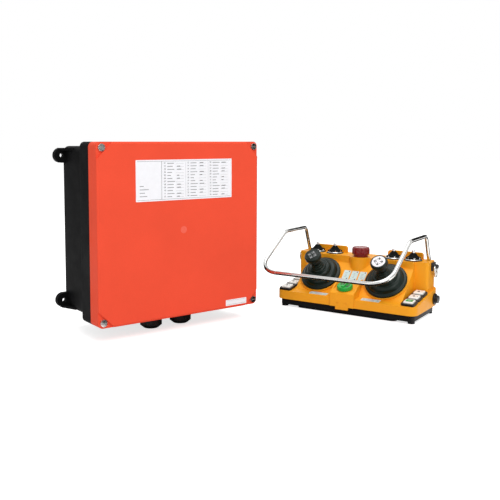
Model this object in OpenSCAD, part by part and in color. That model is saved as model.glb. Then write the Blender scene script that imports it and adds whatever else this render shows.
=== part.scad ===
// Crane radio remote control: a wall-mounted receiver case with a lift-off lid, and the
// two-joystick transmitter that stands beside it on the same surface.
// Millimetres. X points right, the lid faces -Y and Z points up. The origin is the centre
// of the four wall bolts, on the wall plane.

/* [Receiver case] */
// Width of the flange and lid
case_w = 300; // [290:1:330]
// Height of the flange and lid
case_h = 280; // [270:1:310]
// Distance from the wall to the front of the lid
case_d = 138; // [134:1:150]
// Depth of the lid
lid_depth = 29; // [26:1:32]
// Seam between the lid and the flange
seam = 0.6; // [0.5:0.1:1]
// Depth of the rear body
body_depth = 79; // [76:1:84]
// Step from the flange in to the rear body
body_inset = 7; // [6:0.5:8]
// Thickness of the case walls
case_wall = 4; // [3:0.5:4.5]
// Corner radius of the flange and lid
case_r = 8; // [7:0.5:10]
// Corner radius of the rear body
body_r = 10; // [8:0.5:14]

/* [Lid] */
// Thickness of the lid face
lid_face = 4; // [3:0.5:5]
// Width of the bevel around the lid face
lid_bevel_w = 3; // [2:0.5:4]
// Depth of the bevel around the lid face
lid_bevel_d = 2; // [1:0.5:2.5]
// Leg of the lowered triangle in each lid corner
corner_pad_leg = 26; // [26:0.5:30]
// Depth of the lowered triangle in each lid corner
corner_pad_drop = 3.5; // [3:0.5:4.5]
// Distance of the lid screws from both edges
screw_inset = 8.5; // [8:0.5:10]
// Radius of the posts that the lid screws pass through
screw_post_r = 6.5; // [5.5:0.5:7]
// Shank radius of the lid screws
lid_screw_r = 3; // [2.5:0.5:3]
// Head radius of the lid screws
lid_screw_head_r = 5.5; // [5:0.5:6]
// Head height of the lid screws
lid_screw_head_h = 3.2; // [2.5:0.1:4]
// Length of screw that reaches into the flange
lid_screw_reach = 12; // [8:1:18]
// Width of the table label
label_w = 180; // [140:1:200]
// Height of the table label
label_h = 64; // [50:1:80]
// Sideways shift of the table label from the lid centre
label_x = 4; // [-10:1:10]
// Distance of the label below the lid's upper edge
label_top = 28; // [20:1:40]
// Thickness of the labels
label_t = 0.4; // [0.3:0.1:0.8]
// Width of the rating plate
rating_w = 43; // [30:1:50]
// Height of the rating plate
rating_h = 10; // [8:1:14]
// Distance of the small plate inside the lid's side
rating_side = 24.5; // [22.5:0.5:38.5]
// Margin under the rating plate
rating_margin = 4.5; // [4:0.5:8]

/* [Wall lugs] */
// Distance of the wall bolts outside the body's sides
lug_out = 7; // [6:0.5:10]
// Distance of the wall bolts inside the body's ends
lug_in = 15; // [11:1:28]
// Radius of the lug ears
lug_r = 12; // [10:0.5:13]
// Thickness of the lug ears
lug_t = 10; // [8:0.5:14]
// Radius of the wall bolt holes
lug_hole_r = 3.5; // [3:0.25:4]
// Reach of the lug web along the body
lug_web_d = 38; // [30:1:50]
// Thickness of the lug web
lug_web_t = 4; // [3:0.5:5]

/* [Cable glands] */
// Half the distance between the two glands
gland_x = 28.5; // [27:0.5:32]
// Distance of the glands behind the back of the lid
gland_in = 29; // [25:1:31]
// Radius over the corners of the gland hexagon
gland_hex_r = 20.5; // [18:0.5:21]
// Height of the gland hexagon
gland_hex_h = 12; // [9:1:14]
// Thread radius of the gland
gland_thread_r = 12.4; // [11:0.1:13]
// Bore radius of the gland
gland_bore_r = 6.5; // [5:0.5:7]
// Radius of the way through the gland's thread
gland_way_r = 8; // [7.5:0.25:9]
// Height of the dome nut
gland_dome_h = 14; // [12:1:18]
// Outer radius of the dome nut
gland_dome_r = 18; // [15.5:0.5:18.5]
// Outer radius of the dome nut's mouth
gland_mouth_r = 12; // [8.5:0.5:13]
// Height of the locknut
locknut_h = 6; // [4:0.5:8]

/* [Receiver inside] */
// Gap between the steel mounting plate and the side walls
plate_side = 14; // [11:1:17]
// Gap between the steel mounting plate and the end walls
plate_end = 16; // [13:1:18]
// Thickness of the steel mounting plate
plate_t = 2; // [1.5:0.5:3]
// Height of the pillars under the mounting plate
pillar_h = 8; // [5:0.5:12]
// Radius of the pillars under the mounting plate
pillar_r = 6; // [5:0.5:8]
// Distance of the relay board's sides inside the plate's sides
board_side = 17; // [10:1:19]
// Height of the relay board's lower edge above the plate's lower edge
board_foot = 107; // [101:1:111]
// Thickness of the circuit boards
board_t = 1.6; // [1:0.2:2.4]
// Distance of the relay board's upper edge below the plate's upper edge
board_top = 15; // [7:1:17]
// Height of the spacers under the relay board
spacer_h = 8; // [5:0.5:12]
// Gap between two relays
relay_gap = 4; // [3:0.5:8]
// Height of one relay as a share of the board's height
relay_h_share = 0.149; // [0.12:0.001:0.18]
// Depth of one relay
relay_d = 15.5; // [10:0.5:20]
// Distance of the terminal blocks inside the plate's sides
terminal_side = 21; // [17:1:31]
// Height of one terminal block
terminal_h = 18; // [14:0.5:20]
// Depth of one terminal block
terminal_d = 20; // [14:0.5:26]
// Width of the transformer
transformer_w = 60; // [50:1:66]
// Height of the transformer
transformer_h = 44; // [40:1:46]
// Depth of the transformer
transformer_d = 42; // [30:1:46]

/* [Transmitter place] */
// Sideways distance of the transmitter from the case's side
place_side = 190; // [188:1:230]
// Distance of the transmitter in front of the lid
place_front = 50; // [32:1:92]
// Turn of the transmitter about the upright axis
place_turn = -70; // [-75:1:-65]

/* [Transmitter housing] */
// Width of the housing flange
flange_w = 266; // [264:1:276]
// Depth of the housing flange
flange_d = 118; // [116:1:124]
// Corner radius of the housing flange
flange_r = 14; // [12:0.5:16]
// Height of the flange surface at the front edge
flange_front_z = 30; // [29:0.5:33]
// Slope of the flange surface in degrees
flange_slope = 8; // [7:0.5:9]
// Thickness of the housing shell
shell = 3; // [2.5:0.25:3.5]
// Height of the deck that carries the toggles
deck_z = 94; // [92:0.5:98]
// Front edge of the deck
deck_front_y = 14; // [13:0.5:16]
// Front edge of the deck beside the button rows
side_front_y = 20; // [19:0.5:21]
// Half width of the tower under the deck
tower_half_w = 127; // [126:0.5:129]
// Corner radius of the tower
tower_r = 6; // [5:0.5:8]
// Half width of the joystick panel
panel_half_w = 103; // [102:0.25:103.5]
// Tilt of the joystick panel in degrees
panel_tilt = 42; // [40:0.5:44]
// Radius of the raised pods under the joysticks
pod_r = 39.5; // [38:0.5:40]
// Height of the pods over the panel
pod_h = 3; // [2:0.5:3.5]
// Half width of the front hump
hump_half_w = 23; // [21:0.5:24]
// Reach of the hump beyond the flange
hump_out = 2; // [1:0.5:3]
// Slope of the hump surface in degrees
hump_slope = 15; // [13:0.5:17]
// Rise of the walls beside the key knob
hump_wall_rise = 8; // [5:0.5:10]
// Thickness of the walls beside the key knob
hump_wall_t = 3.5; // [2.5:0.5:4]
// Half width of the tongue over the base
tongue_half_w = 12; // [9:0.5:16]
// Reach of the tongue below the flange
tongue_drop = 5; // [3:0.5:8]
// Radius of the dimples on the hump front
dimple_r = 1.6; // [1:0.1:2]
// Half the distance between the dimples
dimple_x = 8; // [6:0.5:10]
// Height of the lips behind the toggles
lip_h = 12; // [8:0.5:14]
// Thickness of the lips behind the toggles
lip_t = 6; // [4:0.5:7]
// Inner end of each lip
lip_x0 = 41; // [36:1:46]
// Outer end of each lip
lip_x1 = 107; // [100:1:109]

/* [Transmitter base] */
// Height of the black base
base_h = 14; // [13:0.5:16]
// Step from the flange in to the base
base_inset = 5; // [4.5:0.5:6]
// Thickness of the base walls
base_wall = 4; // [3:0.5:4]
// Height of the base feet and of the bulge
foot_h = 4; // [3:0.5:5]
// Half width of the bulge under the base
bulge_half_w = 95; // [85:1:100]
// Half depth of the bulge under the base
bulge_half_d = 50; // [49.5:0.25:50.5]
// Radius of the feet
foot_r = 6; // [5.5:0.25:6]
// Half the sideways distance between the housing screws
post_x = 121.5; // [120.5:0.5:121.5]
// Half the front-to-back distance between the housing screws
post_y = 45.5; // [45.25:0.25:46]
// Thickness of the housing gasket
gasket_t = 0.8; // [0.6:0.1:1.2]
// Width of the battery bay
bay_w = 71; // [66:0.5:72]
// Depth of the battery bay
bay_d = 62; // [56:0.5:63]
// Height of the battery bay
bay_h = 31; // [26:0.5:31]
// Front-to-back place of the battery bay
bay_y = 5; // [4:0.5:6]
// Wall thickness of the battery bay
bay_wall = 2.5; // [2:0.25:2.5]
// Thickness of the battery cover
cover_t = 2.4; // [1.8:0.1:2.6]

/* [Joysticks] */
// Half the distance between the joysticks
stick_x = 63.5; // [63:0.25:63.5]
// Front-to-back place of the joystick pivots
stick_y = -12; // [-13:0.25:-11]
// Height of the joystick pivots
stick_z = 58; // [57.5:0.25:59]
// Radius of the joystick housing
cup_r = 24; // [23:0.25:24.5]
// Wall thickness of the joystick housing
cup_wall = 3; // [2.5:0.25:3]
// Depth of the joystick housing below the pivots
cup_depth = 26; // [25:0.5:27]
// Radius of the joystick flange
stick_flange_r = 36; // [34:0.25:36]
// Thickness of the joystick flange
stick_flange_t = 2; // [1.5:0.25:2]
// Outer radius of the gimbal ring
gimbal_r = 17; // [16.5:0.25:17.5]
// Thickness of the gimbal ring
gimbal_wall = 5; // [4:0.5:5]
// Height of the gimbal ring
gimbal_h = 9; // [8:0.5:10]
// Radius of the gimbal and stick pins
pin_r = 2.5; // [2:0.1:3]
// Radius of the stick rod
rod_r = 4; // [3.5:0.25:4]
// Length of the stick below the pivots
rod_tail = 15; // [12:0.5:16]
// Height of the knob face over the pivots
knob_top = 58; // [56.5:0.5:64]
// Height of the knob itself
grip_h = 20; // [18:0.5:21.5]
// Radius of the knob face
grip_r = 15.2; // [13:0.2:16]
// Base radius of the rubber boot
boot_r = 35; // [33:0.25:35]
// Height of the rubber boot
boot_h = 31; // [30:0.5:32]
// Wall thickness of the rubber boot
boot_wall = 1.6; // [1.2:0.1:2]

/* [Toggles] */
// Sideways place of the inner toggles
toggle_x0 = 58.5; // [56:0.5:61]
// Sideways place of the outer toggles
toggle_x1 = 95; // [93:0.5:96]
// Front-to-back place of the toggles
toggle_y = 34; // [33.75:0.25:34.25]
// Radius of the toggle washers
washer_r = 15.5; // [13.5:0.25:15.75]
// Thickness of the toggle washers
washer_t = 1.5; // [1:0.25:2]
// Radius over the corners of the toggle nuts
nut_r = 12.5; // [11:0.25:13]
// Height of the toggle nuts
nut_h = 4; // [3:0.5:4.5]
// Radius of the toggle bushings
bushing_r = 6; // [5.5:0.25:6.25]
// Reach of the toggle bushings over the deck
bushing_h = 7; // [6.5:0.25:7]
// Radius of the toggle lever ball
ball_r = 3.2; // [2.8:0.1:3.4]
// Radius of the toggle lever rod
lever_r = 2; // [1.5:0.25:2]
// Radius of the toggle lever tip
tip_r = 3; // [2.5:0.25:3.5]
// Height of the toggle lever tip over the deck
lever_top = 20; // [17.5:0.5:24]
// Base radius of the toggle boots
toggle_boot_r = 9.5; // [9:0.25:10]
// Top radius of the toggle boots
toggle_boot_top_r = 3.7; // [3.4:0.1:4]
// Height of the top of the toggle boots over the deck
toggle_boot_top = 12; // [11.5:0.25:12]
// Width of the switch bodies
switch_w = 15; // [12:0.5:18]
// Depth of the switch bodies
switch_d = 13; // [11:0.5:14]
// Height of the switch bodies
switch_h = 22; // [16:0.5:26]

/* [Stop button] */
// Front-to-back place of the stop button
stop_y = 21; // [20.5:0.5:23]
// Radius of the boss under the stop button
stop_boss_r = 20; // [17:0.5:21]
// Radius of the stop button head
stop_r = 16; // [14.5:0.25:17]
// Height of the stop button over the deck
stop_top = 18; // [16:0.5:20]
// Travel of the stop button
stop_travel = 4; // [3:0.5:4.5]
// Radius of the stop button collar
stop_collar_r = 12; // [11.5:0.1:12.2]
// Height of the stop button collar
stop_collar_h = 5; // [4:0.5:5]
// Radius of the stop button thread
stop_thread_r = 11.1; // [10:0.1:11.1]
// Length of the stop button thread below the deck
stop_thread_h = 25; // [20:0.5:28]
// Radius of the stop button stem
stop_stem_r = 5; // [4:0.25:6]

/* [Key knob] */
// Front-to-back place of the key knob
key_y = -46; // [-46.5:0.25:-44]
// Height of the key knob's seat
key_z = 45; // [44.5:0.25:46]
// Radius of the key knob
key_r = 14; // [12:0.25:14.5]
// Height of the key knob
key_h = 8; // [6:0.5:10]
// Radius of the key knob shaft
key_shaft_r = 3; // [2.5:0.25:3.5]
// Radius of the key switch body
key_body_r = 9.5; // [8:0.25:10]
// Height of the key switch body
key_body_h = 16; // [12:0.5:17]

/* [Push buttons] */
// Half the distance between the two button rows
row_x = 117.5; // [117.5:0.1:118]
// Place of the front button in each row
row_y0 = -44.5; // [-44.5:0.25:-43.5]
// Distance from button to button
row_pitch = 24.5; // [24:0.25:25]
// Size of the button bezels
bezel_s = 22; // [21.5:0.25:22.5]
// Height of the button bezels over the flange
bezel_h = 4; // [3:0.5:4]
// Width of the square button caps
cap_s = 17.5; // [16.5:0.25:17.75]
// Height of the button caps over the bezel
cap_rise = 2.4; // [2.2:0.1:3.2]
// Travel of the push buttons
cap_travel = 2; // [1.5:0.1:2.1]
// Depth of the button switches below the flange
bezel_depth = 8; // [7:0.25:8]
// Front-to-back place of the side button
side_y = 38; // [34:0.5:38.5]
// Height of the side button
side_z = 28; // [28:0.25:29]
// Radius of the side button
side_r = 7; // [6:0.25:7]
// Reach of the side button over its collar
side_rise = 5; // [4:0.25:7]
// Travel of the side button
side_travel = 3; // [2:0.25:3.5]

/* [Guard rail] */
// Radius of the guard rail rod
rail_r = 3.5; // [3:0.25:3.75]
// Half the distance between the rail legs
rail_x = 119; // [118:0.5:119.5]
// Front-to-back place where the rail legs meet the deck
rail_y = 48; // [47:0.25:48]
// Lean of the rail legs in degrees
rail_lean = 22; // [20:0.5:23]
// Height of the rail over the deck
rail_rise = 46; // [42:0.5:54]
// Front-to-back place where the rail starts to slope down
rail_knee_y = -52; // [-58:0.5:-46]
// Slope of the front of the rail in degrees
rail_slope = 32; // [28:0.5:34]
// Length of the sloping front of the rail
rail_len = 112; // [104:0.5:116]
// Radius of the front bends
rail_bend = 35; // [25:0.5:45]
// Radius of the top bends
rail_top_bend = 12; // [10:0.5:16]
// Radius of the knee bends
rail_knee_bend = 25; // [15:0.5:30]

/* [Strap rings] */
// Front-to-back place of the strap rings
ring_y = 44; // [40:0.5:46]
// Height of the strap ring pivots
ring_z = 85; // [78:0.5:86]
// Radius of the strap ring wire
wire_r = 1.8; // [1.2:0.1:2]
// Half width of the strap rings
ring_half_w = 10; // [9.5:0.25:12]
// Drop of the strap rings
ring_drop = 18; // [16:0.5:24]
// Thickness of the strap bracket plate
bracket_t = 3; // [2:0.25:4]
// Radius of the strap bracket barrel
barrel_r = 3.4; // [3:0.1:3.8]
// Half length of the strap bracket barrel
barrel_half = 6; // [5:0.25:6]

/* [Hidden] */
$fn = 48;
// One overrun serves every cut that runs past a face
overrun = 1;
// Gap between parts that move against each other
run_gap = 0.3;
// Radial gap of a part that sits in another part of the same unit
fit_gap = 0.05;
// Radial gap of a turning pin in its bore
pin_gap = 0.08;

// Receiver places, measured from the wall towards the front
lid_back = case_d - lid_depth;
flange_front = lid_back - seam;
body_w = case_w - 2 * body_inset;
body_h = case_h - 2 * body_inset;
lug_x = body_w / 2 + lug_out;
lug_y = body_h / 2 - lug_in;
rating_x = case_w / 2 - rating_side - rating_w / 2;
label_y = case_h / 2 - label_top - label_h / 2;
screw_x = case_w / 2 - screw_inset;
screw_y = case_h / 2 - screw_inset;
pad_front = case_d - corner_pad_drop;
groove_w = 1.6;
groove_d = 1.8;
groove_inset = 1.2;
screw_slot_w = 1.4;
screw_slot_d = 1.2;
plate_r = 4;
plate_w = body_w - 2 * (case_wall + plate_side);
plate_h = body_h - 2 * (case_wall + plate_end);
plate_back = case_wall + pillar_h;
plate_front = plate_back + plate_t;
plate_margin = 12;
pillar_x = plate_w / 2 - plate_margin;
pillar_y = plate_h / 2 - plate_margin;
plate_screw_r = 2;
plate_screw_head_r = 3.8;
plate_screw_head_h = 2.6;
board_back = plate_front + spacer_h;
board_front = board_back + board_t;
board_margin = 6;
board_w = plate_w - 2 * board_side;
board_h = plate_h - board_foot - board_top;
board_y = plate_h / 2 - board_top - board_h / 2;
spacer_r = 3.5;
board_screw_r = 1.5;
board_screw_head_r = 2.9;
board_screw_head_h = 2;
spacer_places = [for (sx = [-1, 0, 1], sy = [-1, 1])
    [sx * (board_w / 2 - board_margin), board_y + sy * (board_h / 2 - board_margin)]];

// Gland places, measured down from the underside of the case
gland_out = lid_back - gland_in;
gland_block_w = 124;
gland_block_back = gland_out - 30;
gland_block_front = gland_out + 24;
gland_block_h = body_inset + case_wall;
gland_wall_in = -case_h / 2 + gland_block_h;
gland_places = [-gland_x, gland_x];
gland_thread_up = gland_block_h + locknut_h + 2 * seam;
gland_spigot_h = 10;
gland_seal_h = 8;
gland_seal_r = 9.8;
gland_drop = gland_hex_h + gland_dome_h;
floor_z = -case_h / 2 - gland_drop;
dome_taper_h = 5;
dome_rib_r = 1.2;
dome_ribs = 18;

// Transmitter places, measured from the middle of its base on the floor
place_x = case_w / 2 + place_side;
place_y = -case_d - place_front;
front_y = -flange_d / 2;
rear_y = flange_d / 2;
rim_z = base_h + gasket_t;
base_w = flange_w - 2 * base_inset;
base_d = flange_d - 2 * base_inset;
base_r = flange_r - base_inset;
function flange_z(y) = flange_front_z + (y - front_y) * tan(flange_slope);
function panel_z(y) = stick_z + (y - stick_y) * tan(panel_tilt);
function hump_z(y) = key_z + (y - key_y) * tan(hump_slope);
panel_foot_y = (stick_z - flange_front_z - stick_y * tan(panel_tilt) + front_y * tan(flange_slope))
    / (tan(flange_slope) - tan(panel_tilt));
hump_back_y = (stick_z - key_z - stick_y * tan(panel_tilt) + key_y * tan(hump_slope))
    / (tan(hump_slope) - tan(panel_tilt));
hump_front_y = front_y - hump_out;
hump_nose = 3;
hump_nose_y = hump_front_y + hump_nose;
hump_nose_z = hump_z(hump_nose_y) - hump_nose;
panel_low_y = panel_foot_y - 2 * shell;
panel_back_y = deck_front_y + 2 * shell;
pod_root = 20;
dimple_d = 0.6;
dimple_z = 22;
lip_y1 = rear_y - shell;
lip_y0 = lip_y1 - lip_t;
lip_chamfer = 3;
post_r = 5;
post_top = 22;
housing_screw_r = 2;
housing_screw_head_r = 3.8;
housing_screw_head_h = 3;
housing_screw_top = 20;
head_recess = 1.5;
rail_insert = 12;
// A bend is a hair thicker than the rods that end inside it
bend_swell = 0.06;
bend_grip = 0.25;
rail_block = 9;
rail_block_h = 16;
cover_seat = 3;
bay_top = cover_seat + bay_h + bay_wall;
cover_ledge = 3;
cover_face = cover_seat - cover_t;
cover_gap = 0.3;
cover_boss_r = 4;
cover_w = bay_w + 2 * bay_wall - 2 * cover_gap;
cover_d = bay_d + 2 * bay_wall + 4 * cover_boss_r + cover_boss_r;
cover_screw_r = 1.5;
cover_screw_head_r = 2.8;
cover_screw_head_h = 1.4;
cover_screw_top = 11;
cover_boss_top = 13;
cover_screw_y = bay_d / 2 + bay_wall + cover_boss_r + cover_gap;
board_post_h = 3.5;
board_post_r = 2.5;
encoder_w = 68;
encoder_d = 60;
encoder_inset = 4;
encoder_post_x = encoder_w / 2 - encoder_inset;
encoder_post_y = encoder_d / 2 - encoder_inset;
strip_w = 13;
strip_l = 20.5;
strip_pitch = 15.5;
strip_y = -7;
front_label_w = 34;
front_label_h = 11;
front_label_x = 50;
front_label_y = -50;

// Joystick places, measured along the panel normal from the pivots
boot_base = pod_h + stick_flange_t;
boot_top = boot_base + boot_h;
pin_end = cup_r - cup_wall / 6;
stick_pin_end = gimbal_r - gimbal_wall / 6;
boot_r_shares = [1, 1, 0.93, 0.86, 0.72, 0.75, 0.58, 0.6, 0.4, 0.36, 0.3, 0.24, 0.24];
boot_z_shares = [0, 0.09, 0.15, 0.22, 0.28, 0.36, 0.43, 0.52, 0.62, 0.72, 0.8, 0.9, 1];
grip_r_shares = [0.56, 0.64, 0.64, 0.54, 0.62, 0.9, 1, 1, 0.94, 0.84];
grip_z_shares = [0, 0.08, 0.18, 0.28, 0.44, 0.58, 0.66, 0.88, 0.96, 1];
grip_face = 2;

// Toggle, stop, key and button places
toggle_places = [-toggle_x1, -toggle_x0, toggle_x0, toggle_x1];
toggle_pivot_z = 1;
bore_r = ball_r + run_gap;
bore_mouth_r = bushing_r - 1.2;
toggle_boot_wall = 1.1;
toggle_boot_lip = 1.3;
nut_top = washer_t + nut_h;
stop_skirt = stop_travel + 0.5;
stop_ceiling = stop_collar_h + stop_travel + run_gap;
stop_stem_top = 13;
stop_edge = 2.5;
stop_grips = 14;
stop_grip_r = 1.2;
key_bushing_r = 5;
key_slot_w = 2.5;
key_slot_d = 2;
key_bar_w = 6;
key_bar_h = 2.5;
key_edge = 1.5;
tube_s = bezel_s - 1.6;
row_places = [for (i = [0:2]) row_y0 + i * row_pitch];
bezel_r = 3;
cap_r = 2.5;
bezel_floor = 1.5;
side_collar_r = 10;
side_collar_t = 3;
side_tube_r = 8.5;
side_tube_in = 5.8;
ring_x = tower_half_w + bracket_t + barrel_r - pin_gap;
ring_foot = 2.5;
ring_bend = 2.4;
bracket_half_w = 9;
bracket_half_h = 7;

// Rounded rectangle in the plane
module rounded(w, h, r) {
    square([w - 2 * r, h], center = true);
    square([w, h - 2 * r], center = true);
    for (sx = [-1, 1], sy = [-1, 1]) translate([sx * (w / 2 - r), sy * (h / 2 - r)]) circle(r);
}

// Rounded plate between two heights
module slab(w, h, r, z0, z1) {
    translate([0, 0, z0]) linear_extrude(z1 - z0) rounded(w, h, r);
}

// Plain tube or disc between two heights
module rod(r, z0, z1) {
    translate([0, 0, z0]) cylinder(r = r, h = z1 - z0);
}

// Children at the four corners of a rectangle
module at_corners(x, y) {
    for (sx = [-1, 1], sy = [-1, 1]) translate([sx * x, sy * y, 0]) children();
}

// Receiver parts are drawn lying on the wall: their height is the distance from the wall
module from_wall() {
    rotate([90, 0, 0]) children();
}

// Triangles that fill the four lid corners
module corner_triangles(leg, z0, z1) {
    for (sx = [0, 1], sy = [0, 1]) mirror([sx, 0, 0]) mirror([0, sy, 0])
        translate([case_w / 2, case_h / 2, z0]) linear_extrude(z1 - z0)
            polygon([[overrun, overrun], [-leg, overrun], [-leg, 0], [0, -leg], [overrun, -leg]]);
}

module lug() {
    difference() {
        union() {
            rod(lug_r, 0, lug_t);
            translate([body_w / 2 - case_wall - lug_x, -lug_r, 0])
                cube([lug_x - body_w / 2 + case_wall, 2 * lug_r, lug_t]);
            translate([body_w / 2 - lug_x, lug_r, 0]) rotate([90, 0, 0]) linear_extrude(lug_web_t)
                polygon([[-case_wall / 2, 0], [lug_x - body_w / 2 + lug_r / 3, 0],
                    [lug_x - body_w / 2 + lug_r / 3, lug_t], [0, lug_web_d], [-case_wall / 2, lug_web_d]]);
        }
        rod(lug_hole_r, -overrun, lug_t + overrun);
    }
}

module receiver_shell() {
    difference() {
        union() {
            slab(body_w, body_h, body_r, 0, body_depth);
            slab(case_w, case_h, case_r, body_depth, flange_front);
            translate([-gland_block_w / 2, -case_h / 2, gland_block_back])
                cube([gland_block_w, gland_block_h, body_depth - gland_block_back]);
        }
        slab(body_w - 2 * case_wall, body_h - 2 * case_wall, body_r - case_wall,
            case_wall, flange_front + overrun);
        slab(case_w - 2 * case_wall, case_h - 2 * case_wall, case_r - case_wall,
            body_depth + case_wall, flange_front + overrun);
    }
}

module receiver_base() {
    color("#232323") from_wall() difference() {
        union() {
            receiver_shell();
            at_corners(screw_x, screw_y) rod(screw_post_r, body_depth, flange_front);
            at_corners(pillar_x, pillar_y) rod(pillar_r, case_wall / 2, plate_back);
            translate([-gland_block_w / 2, -case_h / 2, body_depth])
                cube([gland_block_w, gland_block_h, gland_block_front - body_depth]);
            for (sx = [0, 1], sy = [0, 1]) mirror([sx, 0, 0]) mirror([0, sy, 0])
                translate([lug_x, lug_y, 0]) lug();
        }
        at_corners(screw_x, screw_y)
            rod(lid_screw_r + run_gap, flange_front - lid_screw_reach - overrun, flange_front + overrun);
        at_corners(pillar_x, pillar_y) rod(plate_screw_r + fit_gap, case_wall, plate_back + overrun);
        difference() {
            slab(case_w - 2 * groove_inset, case_h - 2 * groove_inset, case_r - groove_inset,
                flange_front - groove_d, flange_front + overrun);
            slab(case_w - 2 * (groove_inset + groove_w), case_h - 2 * (groove_inset + groove_w),
                case_r - groove_inset - groove_w, flange_front - groove_d - overrun,
                flange_front + 2 * overrun);
        }
        for (x = gland_places) translate([x, 0, gland_out]) rotate([90, 0, 0])
            rod(gland_thread_r + fit_gap, case_h / 2 - gland_block_h - overrun, case_h / 2 + overrun);
    }
}

module lid_gasket() {
    color("#111111") from_wall() difference() {
        slab(case_w - 2 * (groove_inset + fit_gap), case_h - 2 * (groove_inset + fit_gap),
            case_r - groove_inset - fit_gap, flange_front - groove_d, lid_back - run_gap);
        slab(case_w - 2 * (groove_inset + groove_w - fit_gap),
            case_h - 2 * (groove_inset + groove_w - fit_gap),
            case_r - groove_inset - groove_w + fit_gap, flange_front - groove_d - overrun,
            lid_back + overrun);
    }
}

module receiver_lid() {
    color("#ee5a40") from_wall() difference() {
        union() {
            slab(case_w, case_h, case_r, lid_back, case_d - lid_bevel_d);
            hull() {
                slab(case_w, case_h, case_r, case_d - 2 * lid_bevel_d, case_d - lid_bevel_d);
                slab(case_w - 2 * lid_bevel_w, case_h - 2 * lid_bevel_w, case_r - lid_bevel_w,
                    case_d - lid_bevel_d, case_d);
            }
        }
        difference() {
            slab(case_w - 2 * case_wall, case_h - 2 * case_wall, case_r - case_wall,
                lid_back - overrun, case_d - lid_face);
            corner_triangles(corner_pad_leg + 2 * case_wall, pad_front - lid_face, case_d);
            at_corners(screw_x, screw_y) rod(screw_post_r, lid_back, case_d);
        }
        corner_triangles(corner_pad_leg, pad_front, case_d + overrun);
        at_corners(screw_x, screw_y) rod(lid_screw_r + fit_gap, lid_back - overrun, case_d + overrun);
    }
}

module lid_screws() {
    color("#d8d8d8") from_wall() at_corners(screw_x, screw_y) difference() {
        union() {
            rod(lid_screw_r, flange_front - lid_screw_reach, pad_front);
            rod(lid_screw_head_r, pad_front, pad_front + lid_screw_head_h);
        }
        translate([-lid_screw_head_r, -screw_slot_w / 2, pad_front + lid_screw_head_h - screw_slot_d])
            cube([2 * lid_screw_head_r, screw_slot_w, screw_slot_d + overrun]);
    }
}

// The table label and the narrow plate at the lower right
module lid_labels() {
    color("#f2efec") from_wall() {
        translate([label_x, label_y, 0])
            slab(label_w, label_h, label_t * 2, case_d, case_d + label_t);
        translate([rating_x, rating_h / 2 + rating_margin - case_h / 2, 0])
            slab(rating_w, rating_h, label_t * 2, case_d, case_d + label_t);
    }
}

// Children placed under the case at each gland
module at_glands() {
    for (x = gland_places) translate([x, -gland_out, -case_h / 2]) children();
}

module gland_bodies() {
    color("#2a2a2a") at_glands() difference() {
        union() {
            translate([0, 0, -gland_hex_h]) cylinder(r = gland_hex_r, h = gland_hex_h, $fn = 6);
            rod(gland_thread_r, -gland_hex_h - gland_spigot_h, gland_thread_up);
        }
        rod(gland_way_r, -gland_hex_h - gland_spigot_h - overrun, gland_thread_up + overrun);
        rod(gland_seal_r + fit_gap, -gland_hex_h - gland_spigot_h - overrun,
            -gland_hex_h - gland_spigot_h + gland_seal_h);
    }
}

module gland_dome_nuts() {
    color("#303030") at_glands() difference() {
        union() {
            rod(gland_dome_r, -gland_drop + dome_taper_h, -gland_hex_h);
            translate([0, 0, -gland_drop])
                cylinder(r1 = gland_mouth_r, r2 = gland_dome_r, h = dome_taper_h);
        }
        rod(gland_thread_r + fit_gap, -gland_hex_h - gland_spigot_h, -gland_hex_h + overrun);
        rod(gland_bore_r, -gland_drop - overrun, -gland_hex_h);
        for (i = [0:dome_ribs - 1]) rotate([0, 0, (i + 1 / 2) * 360 / dome_ribs])
            translate([gland_dome_r + dome_rib_r / 2, 0, 0])
                rod(dome_rib_r, -gland_drop + dome_taper_h + overrun / 2, -gland_hex_h - overrun);
    }
}

module gland_seals() {
    color("#0d0d0d") at_glands() difference() {
        rod(gland_seal_r, -gland_hex_h - gland_spigot_h, -gland_hex_h - gland_spigot_h + gland_seal_h);
        rod(gland_bore_r, -gland_drop, 0);
    }
}

module gland_locknuts() {
    color("#2a2a2a") at_glands() difference() {
        translate([0, 0, gland_block_h]) cylinder(r = gland_hex_r, h = locknut_h, $fn = 6);
        rod(gland_thread_r + fit_gap, gland_block_h - overrun, gland_block_h + locknut_h + overrun);
    }
}

module mounting_plate() {
    color("#c2c6ca") from_wall() difference() {
        slab(plate_w, plate_h, plate_r, plate_back, plate_front);
        at_corners(pillar_x, pillar_y)
            rod(plate_screw_r + fit_gap, plate_back - overrun, plate_front + overrun);
    }
}

module plate_screws() {
    color("#b8b8b8") from_wall() at_corners(pillar_x, pillar_y) {
        rod(plate_screw_r, case_wall, plate_front);
        rod(plate_screw_head_r, plate_front, plate_front + plate_screw_head_h);
    }
}

module relay_board() {
    color("#1f6b3a") from_wall() difference() {
        translate([-board_w / 2, board_y - board_h / 2, board_back]) cube([board_w, board_h, board_t]);
        for (p = spacer_places) translate(p)
            rod(board_screw_r + fit_gap, board_back - overrun, board_front + overrun);
    }
}

module board_spacers() {
    color("#c9a24a") from_wall() for (p = spacer_places) translate(p) difference() {
        rod(spacer_r, plate_front, board_back);
        rod(board_screw_r + fit_gap, plate_front + spacer_h / 4, board_back + overrun);
    }
}

module board_screws() {
    color("#b8b8b8") from_wall() for (p = spacer_places) translate(p) {
        rod(board_screw_r, plate_front + spacer_h / 2, board_front);
        rod(board_screw_head_r, board_front, board_front + board_screw_head_h);
    }
}

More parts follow.
